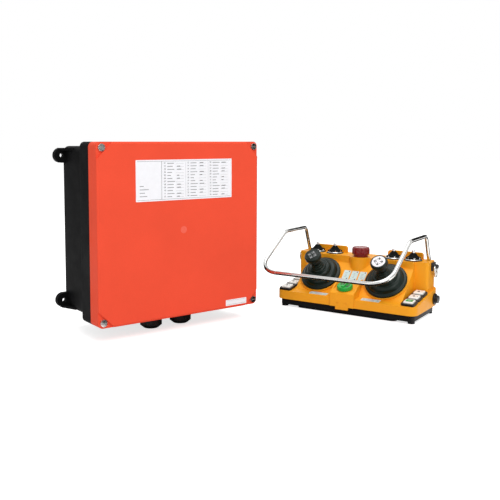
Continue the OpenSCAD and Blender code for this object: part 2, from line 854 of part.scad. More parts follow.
relay_columns = 6;
relay_rows = 2;
relay_left = 2 * board_margin;
relay_row_share = 0.4423;
radio_w_share = 0.213;
radio_h_share = 0.596;
radio_gap = 8;
radio_w = board_w * radio_w_share;
radio_h = board_h * radio_h_share;
relay_pitch = (board_w - radio_w - 2 * relay_left - radio_gap) / relay_columns;
relay_w = relay_pitch - relay_gap;
relay_h = board_h * relay_h_share;
module relays() {
    color("#2b57a8") from_wall() for (i = [0:relay_columns - 1], j = [0:relay_rows - 1])
        translate([-board_w / 2 + relay_left + i * relay_pitch,
            board_y - relay_h / 2 + (j - 1 / 2) * board_h * relay_row_share, board_front])
            cube([relay_w, relay_h, relay_d]);
}

radio_d = 9;
radio_x = board_w / 2 - relay_left - radio_w / 2;
radio_coil_r = 3.5;
radio_coil_h = 6;
module radio_module() {
    color("#b9bec2") from_wall() translate([radio_x, board_y, board_front]) {
        translate([-radio_w / 2, -radio_h / 2, 0]) cube([radio_w, radio_h, radio_d]);
        at_corners(radio_w / 4, radio_h / 4) rod(radio_coil_r, radio_d, radio_d + radio_coil_h);
    }
}

terminal_foot = 25;
terminal_y = terminal_foot - plate_h / 2;
terminal_gap = 8;
terminal_w = (plate_w - terminal_gap) / 2 - terminal_side;
terminal_ways = 10;
terminal_well_r = 2.4;
terminal_well_d = 5;
terminal_slot_w = 6;
module terminal_blocks() {
    pitch = terminal_w / terminal_ways;
    color("#3c7d4c") from_wall() for (sx = [-1, 1])
        translate([sx * (terminal_w + terminal_gap) / 2, terminal_y, plate_front]) difference() {
            translate([-terminal_w / 2, -terminal_h / 2, 0]) cube([terminal_w, terminal_h, terminal_d]);
            for (i = [0:terminal_ways - 1]) translate([(i + 1 / 2) * pitch - terminal_w / 2, 0, 0]) {
                rod(terminal_well_r, terminal_d - terminal_well_d, terminal_d + overrun);
                translate([-terminal_slot_w / 2, -terminal_h / 2 - overrun, terminal_d / 4])
                    cube([terminal_slot_w, terminal_well_d + overrun, terminal_slot_w]);
            }
        }
}

transformer_side = 53;
transformer_foot = 73;
transformer_x = transformer_side - plate_w / 2;
transformer_y = transformer_foot - plate_h / 2;
transformer_leg = 12;
module supply_transformer() {
    color("#8a8f94") from_wall() translate([transformer_x, transformer_y, plate_front]) {
        translate([-transformer_w / 2, -transformer_h / 2 + transformer_leg, 0])
            cube([transformer_w, transformer_h - 2 * transformer_leg, transformer_d]);
        slab(transformer_w - 2 * transformer_leg, transformer_h, transformer_leg / 2,
            transformer_leg / 2, transformer_d - transformer_leg / 2);
    }
}

// Transmitter parts are drawn on the floor about the middle of its base
module on_floor() {
    translate([place_x, place_y, floor_z]) rotate([0, 0, place_turn]) children();
}

// Children with their height along the panel normal, at one joystick
module on_panel(x) {
    translate([x, stick_y, stick_z]) rotate([panel_tilt, 0, 0]) children();
}

// Children with their height along the flange normal
module on_flange(x, y) {
    translate([x, y, flange_z(y)]) rotate([flange_slope, 0, 0]) children();
}

// Children with their height along the key knob axis
module on_hump() {
    translate([0, key_y, key_z]) rotate([hump_slope, 0, 0]) children();
}

// Side outline in Y and Z, drawn across the housing
module across(half_w) {
    rotate([90, 0, 90]) linear_extrude(2 * half_w, center = true) children();
}

// Outer shape of the upper housing, or the same shape with every face moved in
module housing_form(inset, z0) {
    drop = inset / cos(flange_slope);
    panel_drop = inset / cos(panel_tilt);
    hump_drop = inset / cos(hump_slope);
    intersection() {
        slab(flange_w - 2 * inset, flange_d - 2 * inset, flange_r - inset, z0, deck_z);
        across(flange_w) polygon([[2 * front_y, z0], [2 * front_y, flange_z(2 * front_y) - drop],
            [2 * rear_y, flange_z(2 * rear_y) - drop], [2 * rear_y, z0]]);
    }
    translate([0, (side_front_y + rear_y) / 2, 0])
        slab(2 * (tower_half_w - inset), rear_y - side_front_y - 2 * inset, tower_r - inset,
            z0, deck_z - inset);
    translate([inset - panel_half_w, deck_front_y + inset, z0])
        cube([2 * (panel_half_w - inset), rear_y - deck_front_y - 2 * inset, deck_z - inset - z0]);
    across(panel_half_w - inset) polygon([
        [panel_low_y, z0],
        [panel_low_y, panel_z(panel_low_y) - panel_drop],
        [panel_back_y, panel_z(panel_back_y) - panel_drop],
        [panel_back_y, z0]]);
    across(hump_half_w - inset) polygon([
        [hump_front_y + inset, z0],
        [hump_front_y + inset, hump_nose_z - hump_drop],
        [hump_nose_y + inset / 2, hump_z(hump_nose_y + inset / 2) - hump_drop],
        [hump_back_y + shell, hump_z(hump_back_y + shell) - hump_drop],
        [hump_back_y + shell, z0]]);
    for (x = [-stick_x, stick_x]) on_panel(x) rod(pod_r - inset, -pod_root, pod_h - inset);
    translate([0, stop_y, 0]) rod(stop_boss_r - inset, z0, deck_z - inset);
}

module hump_walls() {
    for (sx = [0, 1]) mirror([sx, 0, 0]) translate([hump_half_w - hump_wall_t / 2, 0, 0])
        across(hump_wall_t / 2) polygon([
            [hump_front_y + 2 * hump_nose, hump_z(hump_front_y + 2 * hump_nose) - shell / 2],
            [key_y, hump_z(key_y) + hump_wall_rise / 2],
            [hump_back_y - shell, hump_z(hump_back_y - shell) + hump_wall_rise],
            [hump_back_y + shell, panel_z(hump_back_y + shell) - shell / 4]]);
}

module housing_tongue() {
    translate([-tongue_half_w, hump_front_y, rim_z - tongue_drop])
        cube([2 * tongue_half_w, hump_out + base_inset / 3, tongue_drop + 2 * shell]);
}

module upper_housing() {
    color("#f5a51e") on_floor() difference() {
        union() {
            difference() {
                union() {
                    housing_form(0, rim_z);
                    hump_walls();
                    housing_tongue();
                }
                housing_form(shell, rim_z + shell);
                slab(base_w - 2 * base_wall, base_d - 2 * base_wall, base_r - base_wall / 2,
                    rim_z - overrun, rim_z + shell + overrun);
            }
            at_corners(post_x, post_y) rod(post_r, rim_z, post_top);
            for (sx = [0, 1]) mirror([sx, 0, 0])
                translate([rail_x - rail_block, rail_y - rail_block, deck_z - rail_block_h])
                    cube([tower_half_w - shell / 2 - rail_x + rail_block,
                        rear_y - shell / 2 - rail_y + rail_block, rail_block_h - shell / 2]);
        }
        at_corners(post_x, post_y) rod(housing_screw_r + fit_gap, rim_z - overrun, housing_screw_top);
        for (x = [-stick_x, stick_x]) on_panel(x) rod(cup_r + fit_gap, -shell, pod_h + overrun);
        for (x = toggle_places) translate([x, toggle_y, 0])
            rod(bushing_r + fit_gap, deck_z - shell - overrun, deck_z + overrun);
        translate([0, stop_y, 0]) rod(stop_thread_r + fit_gap, deck_z - shell - overrun, deck_z + overrun);
        on_hump() rod(key_bushing_r + fit_gap, -shell - overrun, overrun);
        for (sx = [-1, 1], y = row_places) on_flange(sx * row_x, y)
            slab(tube_s + 2 * fit_gap, tube_s + 2 * fit_gap, bezel_r, -shell - overrun, overrun);
        translate([0, side_y, side_z]) rotate([0, 90, 0])
            rod(side_tube_r + fit_gap, flange_w / 2 - shell - overrun, flange_w / 2 + overrun);
        for (x = [-rail_x, rail_x]) rail_leg(x, rail_r + fit_gap, rail_r, rail_insert);
        for (x = [-dimple_x, dimple_x]) translate([x, hump_front_y, dimple_z]) rotate([90, 0, 0])
            rod(dimple_r, -dimple_d, overrun);
    }
}

module rear_lips() {
    color("#f5a51e") on_floor() for (sx = [0, 1]) mirror([sx, 0, 0])
        translate([0, lip_y1, deck_z]) rotate([90, 0, 0]) linear_extrude(lip_t)
        polygon([[lip_x0, 0], [lip_x0, lip_h - lip_chamfer], [lip_x0 + lip_chamfer, lip_h],
            [lip_x1 - lip_chamfer, lip_h], [lip_x1, lip_h - lip_chamfer], [lip_x1, 0]]);
}

module bay_walls() {
    translate([0, bay_y, 0]) {
        slab(bay_w + 4 * bay_wall, cover_d + bay_wall, bay_wall, 0, cover_seat + cover_ledge);
        slab(bay_w + 2 * bay_wall, bay_d + 2 * bay_wall, bay_wall, 0, bay_top);
        for (sy = [-1, 1]) translate([0, sy * cover_screw_y, 0]) rod(cover_boss_r, 0, cover_boss_top);
        at_corners(encoder_post_x, encoder_post_y) rod(board_post_r, bay_top, bay_top + board_post_h);
    }
}

module lower_housing() {
    color("#1c1c1c") on_floor() difference() {
        union() {
            difference() {
                union() {
                    slab(base_w, base_d, base_r, foot_h, base_h);
                    slab(2 * bulge_half_w, 2 * bulge_half_d, base_r, 0, foot_h);
                }
                slab(base_w - 2 * base_wall, base_d - 2 * base_wall, base_r - base_wall / 2,
                    foot_h + shell, base_h + overrun);
                slab(2 * (bulge_half_w - base_wall), 2 * (bulge_half_d - base_wall), base_r - base_wall / 2,
                    shell, base_h);
            }
            at_corners(post_x, post_y) rod(foot_r, 0, base_h);
            bay_walls();
        }
        at_corners(post_x, post_y) {
            rod(housing_screw_r + fit_gap, 0, base_h + overrun);
            rod(housing_screw_head_r + fit_gap, -overrun, head_recess + housing_screw_head_h);
        }
        translate([0, bay_y, 0]) {
            slab(cover_w + 2 * cover_gap, cover_d + 2 * cover_gap, bay_wall, -overrun, cover_seat);
            translate([-bay_w / 2, -bay_d / 2, 0]) cube([bay_w, bay_d, cover_seat + bay_h]);
            for (sy = [-1, 1]) translate([0, sy * cover_screw_y, 0])
                rod(cover_screw_r + fit_gap, 0, cover_screw_top + overrun);
        }
    }
}

module housing_gasket() {
    color("#101010") on_floor() difference() {
        slab(base_w, base_d, base_r, base_h, rim_z);
        slab(base_w - 2 * base_wall, base_d - 2 * base_wall, base_r - base_wall / 2,
            base_h - overrun, rim_z + overrun);
        at_corners(post_x, post_y) rod(post_r + overrun, base_h - overrun, rim_z + overrun);
    }
}

module housing_screws() {
    color("#c4c4c4") on_floor() at_corners(post_x, post_y) {
        rod(housing_screw_head_r, head_recess, head_recess + housing_screw_head_h);
        rod(housing_screw_r, head_recess, housing_screw_top);
    }
}

battery_edge = 0.5;
module battery_pack() {
    color("#3a3f45") on_floor() translate([0, bay_y, 0])
        slab(bay_w - 2 * battery_edge, bay_d - 2 * battery_edge, bay_wall, cover_seat,
            cover_seat + bay_h - battery_edge);
}

module battery_cover() {
    color("#202020") on_floor() translate([0, bay_y, 0]) difference() {
        slab(cover_w, cover_d, bay_wall, cover_face, cover_seat);
        for (sy = [-1, 1]) translate([0, sy * cover_screw_y, 0]) {
            rod(cover_screw_r + fit_gap, 0, cover_seat + overrun);
            rod(cover_screw_head_r + fit_gap, 0, cover_face + cover_screw_head_h);
        }
    }
}

module cover_screws() {
    color("#c4c4c4") on_floor() translate([0, bay_y, 0])
        for (sy = [-1, 1]) translate([0, sy * cover_screw_y, 0]) {
            rod(cover_screw_head_r, cover_face + fit_gap, cover_face + cover_screw_head_h);
            rod(cover_screw_r, cover_face + fit_gap, cover_screw_top);
        }
}

chip_s = 14;
chip_h = 2;
encoder_crystal_r = 3;
module encoder_board() {
    color("#1f6b3a") on_floor() translate([0, bay_y, bay_top + board_post_h]) {
        translate([-encoder_w / 2, -encoder_d / 2, 0]) cube([encoder_w, encoder_d, board_t]);
        for (sx = [-1, 1]) translate([sx * chip_s - chip_s / 2, -chip_s / 2, board_t])
            cube([chip_s, chip_s, chip_h]);
        translate([0, chip_s, 0]) rod(encoder_crystal_r, board_t, board_t + 2 * chip_h);
    }
}

module label_plates() {
    color("#f0f0ee") on_floor() {
        for (sx = [-1, 1]) on_flange(sx * front_label_x, front_label_y)
            slab(front_label_w, front_label_h, label_t * 2, 0, label_t);
        for (i = [-1:1]) translate([i * strip_pitch, strip_y, panel_z(strip_y)]) rotate([panel_tilt, 0, 0])
            slab(strip_w, strip_l, label_t * 2, 0, label_t);
    }
}

// Parts of the housing that the controls stand in

module button_bezel() {
    difference() {
        union() {
            slab(bezel_s, bezel_s, bezel_r, 0, bezel_h);
            slab(tube_s, tube_s, bezel_r, -bezel_depth, overrun);
        }
        slab(cap_s + 2 * run_gap, cap_s + 2 * run_gap, cap_r, bezel_floor - bezel_depth, bezel_h + overrun);
    }
}

module button_bezels() {
    color("#161616") on_floor() {
        for (sx = [-1, 1], y = row_places) on_flange(sx * row_x, y) button_bezel();
        translate([flange_w / 2, side_y, side_z]) rotate([0, 90, 0]) difference() {
            union() {
                rod(side_collar_r, 0, side_collar_t);
                rod(side_tube_r, -side_tube_in, overrun);
            }
            rod(side_r + run_gap, bezel_floor - side_tube_in, side_collar_t + overrun);
        }
    }
}

module button_cap(sx, place) {
    color("#f4f4f0") on_floor() on_flange(sx * row_x, row_places[place])
        slab(cap_s, cap_s, cap_r - run_gap, bezel_floor - bezel_depth + cap_travel + run_gap,
            bezel_h + cap_rise);
}

module left_front_button() { button_cap(-1, 0); }
module left_middle_button() { button_cap(-1, 1); }
module left_rear_button() { button_cap(-1, 2); }
module right_front_button() { button_cap(1, 0); }
module right_middle_button() { button_cap(1, 1); }
module right_rear_button() { button_cap(1, 2); }

module side_button() {
    color("#1a1a1a") on_floor() translate([flange_w / 2, side_y, side_z]) rotate([0, 90, 0])
        rod(side_r, bezel_floor - side_tube_in + side_travel + run_gap, side_collar_t + side_rise);
}

module toggle_nuts() {
    color("#d0d2d4") on_floor() for (x = toggle_places) translate([x, toggle_y, deck_z]) difference() {
        union() {
            rod(washer_r, 0, washer_t);
            translate([0, 0, washer_t]) cylinder(r = nut_r, h = nut_h, $fn = 6);
        }
        rod(bushing_r + fit_gap, -overrun, nut_top + overrun);
    }
}

module toggle_switch_body() {
    difference() {
        union() {
            translate([-switch_w / 2, -switch_d / 2, -shell - switch_h]) cube([switch_w, switch_d, switch_h]);
            rod(bushing_r, -shell, bushing_h);
        }
        rod(bore_r, -switch_h / 2, toggle_pivot_z + 1);
        translate([0, 0, toggle_pivot_z + 1])
            cylinder(r1 = bore_r, r2 = bore_mouth_r, h = bushing_h - toggle_pivot_z);
    }
}

module switch_bodies() {
    color("#2e3238") on_floor() {
        for (x = toggle_places) translate([x, toggle_y, deck_z]) toggle_switch_body();
        on_hump() difference() {
            union() {
                rod(key_body_r, -shell - key_body_h, -shell);
                rod(key_bushing_r, -shell, 0);
            }
            rod(key_shaft_r + run_gap, bezel_floor - shell - key_body_h, overrun);
        }
    }
}

module toggle_boots() {
    color("#191919") on_floor() for (x = toggle_places) translate([x, toggle_y, deck_z]) difference() {
        union() {
            rod(toggle_boot_r, nut_top, nut_top + toggle_boot_lip);
            translate([0, 0, nut_top + toggle_boot_lip]) cylinder(r1 = toggle_boot_r - toggle_boot_wall / 2,
                r2 = toggle_boot_top_r, h = toggle_boot_top - nut_top - toggle_boot_lip);
        }
        rod(toggle_boot_r - 2 * toggle_boot_wall, nut_top - overrun, nut_top + toggle_boot_lip);
        translate([0, 0, nut_top + toggle_boot_lip]) cylinder(r1 = toggle_boot_r - 2 * toggle_boot_wall,
            r2 = lever_r + run_gap, h = toggle_boot_top - nut_top - 2 * toggle_boot_lip);
        rod(lever_r + run_gap, nut_top, toggle_boot_top + overrun);
    }
}

module toggle_lever(x) {
    color("#b4b7ba") on_floor() translate([x, toggle_y, deck_z]) {
        translate([0, 0, toggle_pivot_z]) sphere(r = ball_r);
        rod(lever_r, toggle_pivot_z, lever_top - tip_r);
        rod(tip_r, toggle_boot_top + run_gap, lever_top - tip_r);
        translate([0, 0, lever_top - tip_r]) sphere(r = tip_r);
    }
}

module left_outer_toggle() { toggle_lever(-toggle_x1); }
module left_inner_toggle() { toggle_lever(-toggle_x0); }
module right_inner_toggle() { toggle_lever(toggle_x0); }
module right_outer_toggle() { toggle_lever(toggle_x1); }

module stop_collar() {
    color("#1f1f1f") on_floor() translate([0, stop_y, deck_z]) difference() {
        union() {
            rod(stop_collar_r, 0, stop_collar_h);
            rod(stop_thread_r, -stop_thread_h, overrun);
        }
        rod(stop_stem_r + run_gap, -stop_thread_h - overrun, stop_collar_h + overrun);
    }
}

module stop_stem() {
    color("#8c1a18") on_floor() translate([0, stop_y, deck_z])
        rod(stop_stem_r, -stop_thread_h + overrun, stop_stem_top);
}

module stop_head() {
    color("#a01f1c") on_floor() translate([0, stop_y, deck_z]) difference() {
        union() {
            rod(stop_r, stop_skirt, stop_top - stop_edge);
            translate([0, 0, stop_top - stop_edge])
                cylinder(r1 = stop_r, r2 = stop_r - stop_edge, h = stop_edge);
        }
        rod(stop_collar_r + 2 * run_gap, stop_skirt - overrun, stop_ceiling);
        rod(stop_stem_r + pin_gap, stop_skirt, stop_stem_top + fit_gap);
        for (i = [0:stop_grips - 1]) rotate([0, 0, i * 360 / stop_grips])
            translate([stop_r + stop_grip_r / 2, 0, 0])
                rod(stop_grip_r, stop_skirt + stop_edge, stop_top + overrun);
    }
}

module key_knob() {
    color("#23aa4b") on_floor() on_hump() {
        rod(key_shaft_r, 2 * bezel_floor - shell - key_body_h, key_h / 2);
        difference() {
            union() {
                rod(key_r, run_gap, key_h - key_edge);
                translate([0, 0, key_h - key_edge])
                    cylinder(r1 = key_r, r2 = key_r - key_edge, h = key_edge);
                translate([-key_bar_w / 2, -key_r + 2 * key_edge, key_h - overrun])
                    cube([key_bar_w, 2 * key_r - 4 * key_edge, key_bar_h + overrun]);
            }
            translate([-key_slot_w / 2, -key_r / 3, key_h + key_bar_h - key_slot_d])
                cube([key_slot_w, 2 * key_r / 3, key_slot_d + overrun]);
        }
    }
}

// Joysticks

module stick_housings() {
    color("#222426") on_floor() for (x = [-stick_x, stick_x]) on_panel(x) difference() {
        union() {
            rod(cup_r, -cup_depth, pod_h);
            rod(stick_flange_r, pod_h, boot_base);
        }
        rod(cup_r - cup_wall, cup_wall - cup_depth, boot_base + overrun);
        rotate([0, 90, 0]) rod(pin_r + pin_gap, -cup_r - overrun, cup_r + overrun);
    }
}

module gimbal(x) {
    color("#9aa0a6") on_floor() on_panel(x) difference() {
        union() {
            rod(gimbal_r, -gimbal_h / 2, gimbal_h / 2);
            rotate([0, 90, 0]) rod(pin_r, -pin_end, pin_end);
        }
        rod(gimbal_r - gimbal_wall, -gimbal_h, gimbal_h);
        rotate([90, 0, 0]) rod(pin_r + pin_gap, -gimbal_r - overrun, gimbal_r + overrun);
    }
}

module left_gimbal() { gimbal(-stick_x); }
module right_gimbal() { gimbal(stick_x); }

module stick(x) {
    color("#8f9499") on_floor() on_panel(x) {
        rod(rod_r, -rod_tail, knob_top - grip_face);
        rotate([90, 0, 0]) rod(pin_r, -stick_pin_end, stick_pin_end);
    }
}

module left_stick() { stick(-stick_x); }
module right_stick() { stick(stick_x); }

module grip(x) {
    outline = [for (i = [0:len(grip_r_shares) - 1])
        [grip_r * grip_r_shares[i], knob_top - grip_h + grip_h * grip_z_shares[i]]];
    color("#17181a") on_floor() on_panel(x) difference() {
        rotate_extrude() polygon(concat([[0, knob_top - grip_h]], outline, [[0, knob_top]]));
        rod(rod_r + fit_gap, 0, knob_top - grip_face);
    }
}

module left_knob() { grip(-stick_x); }
module right_knob() { grip(stick_x); }

module stick_boot(x) {
    last = len(boot_r_shares) - 1;
    outside = [for (i = [0:last]) [boot_r * boot_r_shares[i], boot_base + boot_h * boot_z_shares[i]]];
    inside = [for (i = [last - 1:-1:0]) [boot_r * boot_r_shares[i] - boot_wall,
        boot_base + boot_h * boot_z_shares[i] - (i > 1 ? boot_wall / 2 : 0)]];
    collar = [[rod_r + run_gap, boot_top], [rod_r + run_gap, boot_top - 2 * boot_wall]];
    color("#26292b") on_floor() on_panel(x) rotate_extrude() polygon(concat(outside, collar, inside));
}

module left_stick_boot() { stick_boot(-stick_x); }
module right_stick_boot() { stick_boot(stick_x); }

// Guard rail

rail_top_z = deck_z + rail_rise;
rail_top_y = rail_y - rail_rise * tan(rail_lean);
rail_top_cut = rail_top_bend * tan((90 - rail_lean) / 2);
rail_knee_cut = rail_knee_bend * tan(rail_slope / 2);

// Part of one leg, from below the deck up
module rail_leg(x, r, up, down) {
    translate([x, rail_y, deck_z]) rotate([rail_lean, 0, 0]) rod(r, -down, up);
}

// Bend in the side plane about one centre
module side_bend(x, y, z, radius, start, sweep) {
    translate([x, y, z]) rotate([90, 0, 90]) rotate([0, 0, start])
        rotate_extrude(angle = sweep) translate([radius, 0]) circle(rail_r + bend_swell);
}

module rail_side(x) {
    rail_leg(x, rail_r, rail_rise / cos(rail_lean) - rail_top_cut + bend_grip, rail_insert);
    side_bend(x, rail_top_y - rail_top_cut, rail_top_z - rail_top_bend, rail_top_bend,
        rail_lean, 90 - rail_lean);
    translate([x, rail_knee_y + rail_knee_cut, rail_top_z]) rotate([-90, 0, 0])
        rod(rail_r, -bend_grip, rail_top_y - rail_top_cut - rail_knee_y - rail_knee_cut + bend_grip);
    side_bend(x, rail_knee_y + rail_knee_cut, rail_top_z - rail_knee_bend, rail_knee_bend,
        90, rail_slope);
}

module guard_rail() {
    color("#c8cacc") on_floor() {
        for (x = [-rail_x, rail_x]) rail_side(x);
        translate([0, rail_knee_y, rail_top_z]) rotate([rail_slope, 0, 0]) {
            for (x = [-rail_x, rail_x]) translate([x, 0, 0]) rotate([90, 0, 0])
                rod(rail_r, rail_knee_cut - bend_grip, rail_len - rail_bend + bend_grip);
            for (sx = [0, 1]) mirror([sx, 0, 0])
                translate([rail_x - rail_bend, rail_bend - rail_len, 0]) rotate([0, 0, -90])
                rotate_extrude(angle = 90) translate([rail_bend, 0]) circle(rail_r + bend_swell);
            translate([0, -rail_len, 0]) rotate([0, 90, 0])
                rod(rail_r, rail_bend - rail_x - bend_grip, rail_x - rail_bend + bend_grip);
        }
    }
}

// Strap rings and their brackets

module strap_brackets() {
    color("#3a3a3a") on_floor() for (sx = [0, 1]) mirror([sx, 0, 0])
        translate([0, ring_y, ring_z]) difference() {
        union() {
            translate([tower_half_w, -bracket_half_w, -bracket_half_h])
                cube([bracket_t, 2 * bracket_half_w, 2 * bracket_half_h]);
            translate([tower_half_w + bracket_t / 2, -barrel_half, -barrel_r])
                cube([ring_x - tower_half_w - bracket_t / 2, 2 * barrel_half, 2 * barrel_r]);
            translate([ring_x, 0, 0]) rotate([90, 0, 0]) rod(barrel_r, -barrel_half, barrel_half);
        }
        translate([ring_x, 0, 0]) rotate([90, 0, 0]) rod(wire_r + pin_gap, -bracket_half_w, bracket_half_w);
    }
}

// Unit step along one side of a closed outline, and the turn at the end of that side
function side_step(p, i) = (p[(i + 1) % len(p)] - p[i]) / norm(p[(i + 1) % len(p)] - p[i]);
function side_turn(p, i) = acos(side_step(p, i) * side_step(p, (i + 1) % len(p)));

// Closed wire through corners that run anticlockwise in Y and Z, with round bends
module wire_loop(p, bend, r) {
    n = len(p);
    for (i = [0:n - 1]) {
        step = side_step(p, i);
        turn = side_turn(p, i);
        cut = bend * tan(turn / 2);
        start_cut = bend * tan(side_turn(p, (i + n - 1) % n) / 2);
        from = p[i] + step * start_cut;
        to = p[(i + 1) % n] - step * cut;
        centre = to + bend * [-step[1], step[0]];
        translate([0, from[0], from[1]]) rotate([-atan2(step[0], step[1]), 0, 0])
            rod(r, -bend_grip, norm(to - from) + bend_grip);
        translate([0, centre[0], centre[1]]) rotate([90, 0, 90]) rotate([0, 0, atan2(-step[0], step[1])])
            rotate_extrude(angle = turn) translate([bend, 0]) circle(r + bend_swell);
    }
}

module strap_ring(sx) {
    corners = [[ring_half_w, 0], [-ring_half_w, 0], [-ring_foot, -ring_drop], [ring_foot, -ring_drop]];
    color("#d4d6d8") on_floor() translate([sx * ring_x, ring_y, ring_z])
        wire_loop(corners, ring_bend, wire_r);
}

module left_strap_ring() { strap_ring(-1); }
module right_strap_ring() { strap_ring(1); }

receiver_base();
lid_gasket();
receiver_lid();
lid_screws();
lid_labels();
gland_bodies();
gland_dome_nuts();
gland_seals();
gland_locknuts();
mounting_plate();
plate_screws();
relay_board();
relays();
terminal_blocks();
supply_transformer();
radio_module();
board_spacers();
board_screws();
upper_housing();
rear_lips();
lower_housing();
housing_gasket();
housing_screws();
guard_rail();
battery_pack();
battery_cover();
cover_screws();
encoder_board();
label_plates();
button_bezels();
toggle_nuts();
strap_brackets();
stop_collar();
stick_housings();
switch_bodies();
toggle_boots();
left_stick_boot();
right_stick_boot();
left_strap_ring();
right_strap_ring();
stop_stem();
stop_head();
key_knob();
side_button();
left_front_button();
left_middle_button();
left_rear_button();
right_front_button();
right_middle_button();
right_rear_button();
left_outer_toggle();
left_inner_toggle();
right_inner_toggle();
right_outer_toggle();
left_gimbal();
right_gimbal();
left_stick();
right_stick();
left_knob();
right_knob();
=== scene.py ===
"""Looks for the crane radio remote control: a receiver box and a joystick transmitter."""
import math

import bpy
import bmesh
import numpy as np
from mathutils import Matrix, Vector

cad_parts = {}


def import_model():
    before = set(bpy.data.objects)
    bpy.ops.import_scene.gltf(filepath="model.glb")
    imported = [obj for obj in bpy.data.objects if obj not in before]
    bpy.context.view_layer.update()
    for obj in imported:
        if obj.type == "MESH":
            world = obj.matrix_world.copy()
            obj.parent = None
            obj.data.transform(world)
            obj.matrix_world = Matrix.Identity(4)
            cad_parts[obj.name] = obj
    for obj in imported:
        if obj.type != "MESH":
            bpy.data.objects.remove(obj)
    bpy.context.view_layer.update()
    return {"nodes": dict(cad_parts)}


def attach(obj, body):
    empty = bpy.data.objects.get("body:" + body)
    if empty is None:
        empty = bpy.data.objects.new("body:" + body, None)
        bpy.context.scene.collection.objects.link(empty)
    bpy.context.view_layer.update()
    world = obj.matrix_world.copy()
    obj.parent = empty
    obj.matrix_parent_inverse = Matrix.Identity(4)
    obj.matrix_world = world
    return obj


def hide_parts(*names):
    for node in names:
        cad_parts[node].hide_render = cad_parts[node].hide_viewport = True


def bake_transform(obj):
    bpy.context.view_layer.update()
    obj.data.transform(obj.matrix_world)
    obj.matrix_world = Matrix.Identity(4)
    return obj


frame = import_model()
NODES = frame["nodes"]
MM = 0.001

# Where the transmitter stands, in metres and degrees, as in the source of the part
FLOOR = -0.166
PLACE_X, PLACE_Y, PLACE_TURN = 0.340, -0.188, -70
# Places on the transmitter in its own millimetres, and slopes in degrees, as in the source of the part
STICK_X, STICK_Y, STICK_Z, TILT = 63.5, -12.0, 58.0, 42.0
FLANGE_Y, FLANGE_Z, SLOPE = -59.0, 30.0, 8.0
KEY_Y, KEY_Z, HUMP = -46.0, 45.0, 15.0
DECK = 94.0
STOP_Y = 21
TOGGLES = {"left_outer": -95.0, "left_inner": -58.5, "right_inner": 58.5, "right_outer": 95.0}
TOGGLE_Y = 34.0
ROWS = {"front": -44.5, "middle": -20.0, "rear": 4.5}
ROW_X = 117.5
SIDES = {"left": -1, "right": 1}


def turn(degrees, axis="Z"):
    """A turn about one axis."""
    return Matrix.Rotation(math.radians(degrees), 4, axis)


def shift(x, y, z=0.0):
    """A move in millimetres."""
    return Matrix.Translation((x * MM, y * MM, z * MM))


PLACE = Matrix.Translation((PLACE_X, PLACE_Y, FLOOR)) @ turn(PLACE_TURN)
# The receiver's lid seen from the front: x to the right, y up, z out of the wall
LID_FRONT = turn(90, "X")


def tilted(x, y, z, slope):
    """A place on a sloped face of the transmitter."""
    return PLACE @ shift(x, y, z) @ turn(slope, "X")


def flange(x, y):
    """A place on the flange with the push buttons."""
    return tilted(x, y, FLANGE_Z + (y - FLANGE_Y) * math.tan(math.radians(SLOPE)), SLOPE)


def panel(x, y=STICK_Y):
    """A place on the panel with the joysticks."""
    return tilted(x, y, STICK_Z + (y - STICK_Y) * math.tan(math.radians(TILT)), TILT)


def linked(name, data):
    """A new object in the scene."""
    obj = bpy.data.objects.new(name, data)
    bpy.context.scene.collection.objects.link(obj)
    return obj


# Camera
CAMERA_AT = (-0.603, -1.089, 0.140)
CAMERA_AZIMUTH, CAMERA_PITCH = 35.72, 4.71
SENSOR = 36.0
FOCAL_PIXELS, PHOTO_PIXELS = 708.8, 500
SHIFT_X, SHIFT_Y = 0.05, -0.10
CLIP_NEAR, CLIP_FAR = 0.05, 30.0


def camera():
    data = bpy.data.cameras.new("camera")
    cam = linked("camera", data)
    azimuth, pitch = math.radians(CAMERA_AZIMUTH), math.radians(CAMERA_PITCH)
    cam.location = CAMERA_AT
    level = math.cos(pitch)
    look = Vector((math.sin(azimuth) * level, math.cos(azimuth) * level, -math.sin(pitch)))
    cam.rotation_euler = look.to_track_quat("-Z", "Y").to_euler()
    data.sensor_width = SENSOR
    data.lens = FOCAL_PIXELS / PHOTO_PIXELS * SENSOR
    data.shift_x = SHIFT_X
    data.shift_y = SHIFT_Y
    data.clip_start = CLIP_NEAR
    data.clip_end = CLIP_FAR
    bpy.context.scene.camera = cam
    bpy.context.scene.view_settings.view_transform = "Standard"


camera()


# Wiring of materials
def linear(r, g, b):
    """A linear colour from sRGB values of 0 to 255."""
    out = []
    for v in (r, g, b):
        v /= 255.0
        out.append(v / 12.92 if v <= 0.04045 else ((v + 0.055) / 1.055) ** 2.4)
    return (*out, 1.0)


def shade(color, share):
    """A colour made darker."""
    return tuple(c * share for c in color[:3]) + (1.0,)


class Tree:
    """A node tree with short ways to fill it."""

    def __init__(self, tree):
        self.tree = tree

    def add(self, kind, **settings):
        node = self.tree.nodes.new(kind)
        for key, value in settings.items():
            setattr(node, key, value)
        return node

    def link(self, output, socket):
        self.tree.links.new(output, socket)

    def either(self, a, b):
        """The larger of two values."""
        node = self.add("ShaderNodeMath", operation="MAXIMUM")
        self.link(a, node.inputs[0])
        self.link(b, node.inputs[1])
        return node.outputs[0]


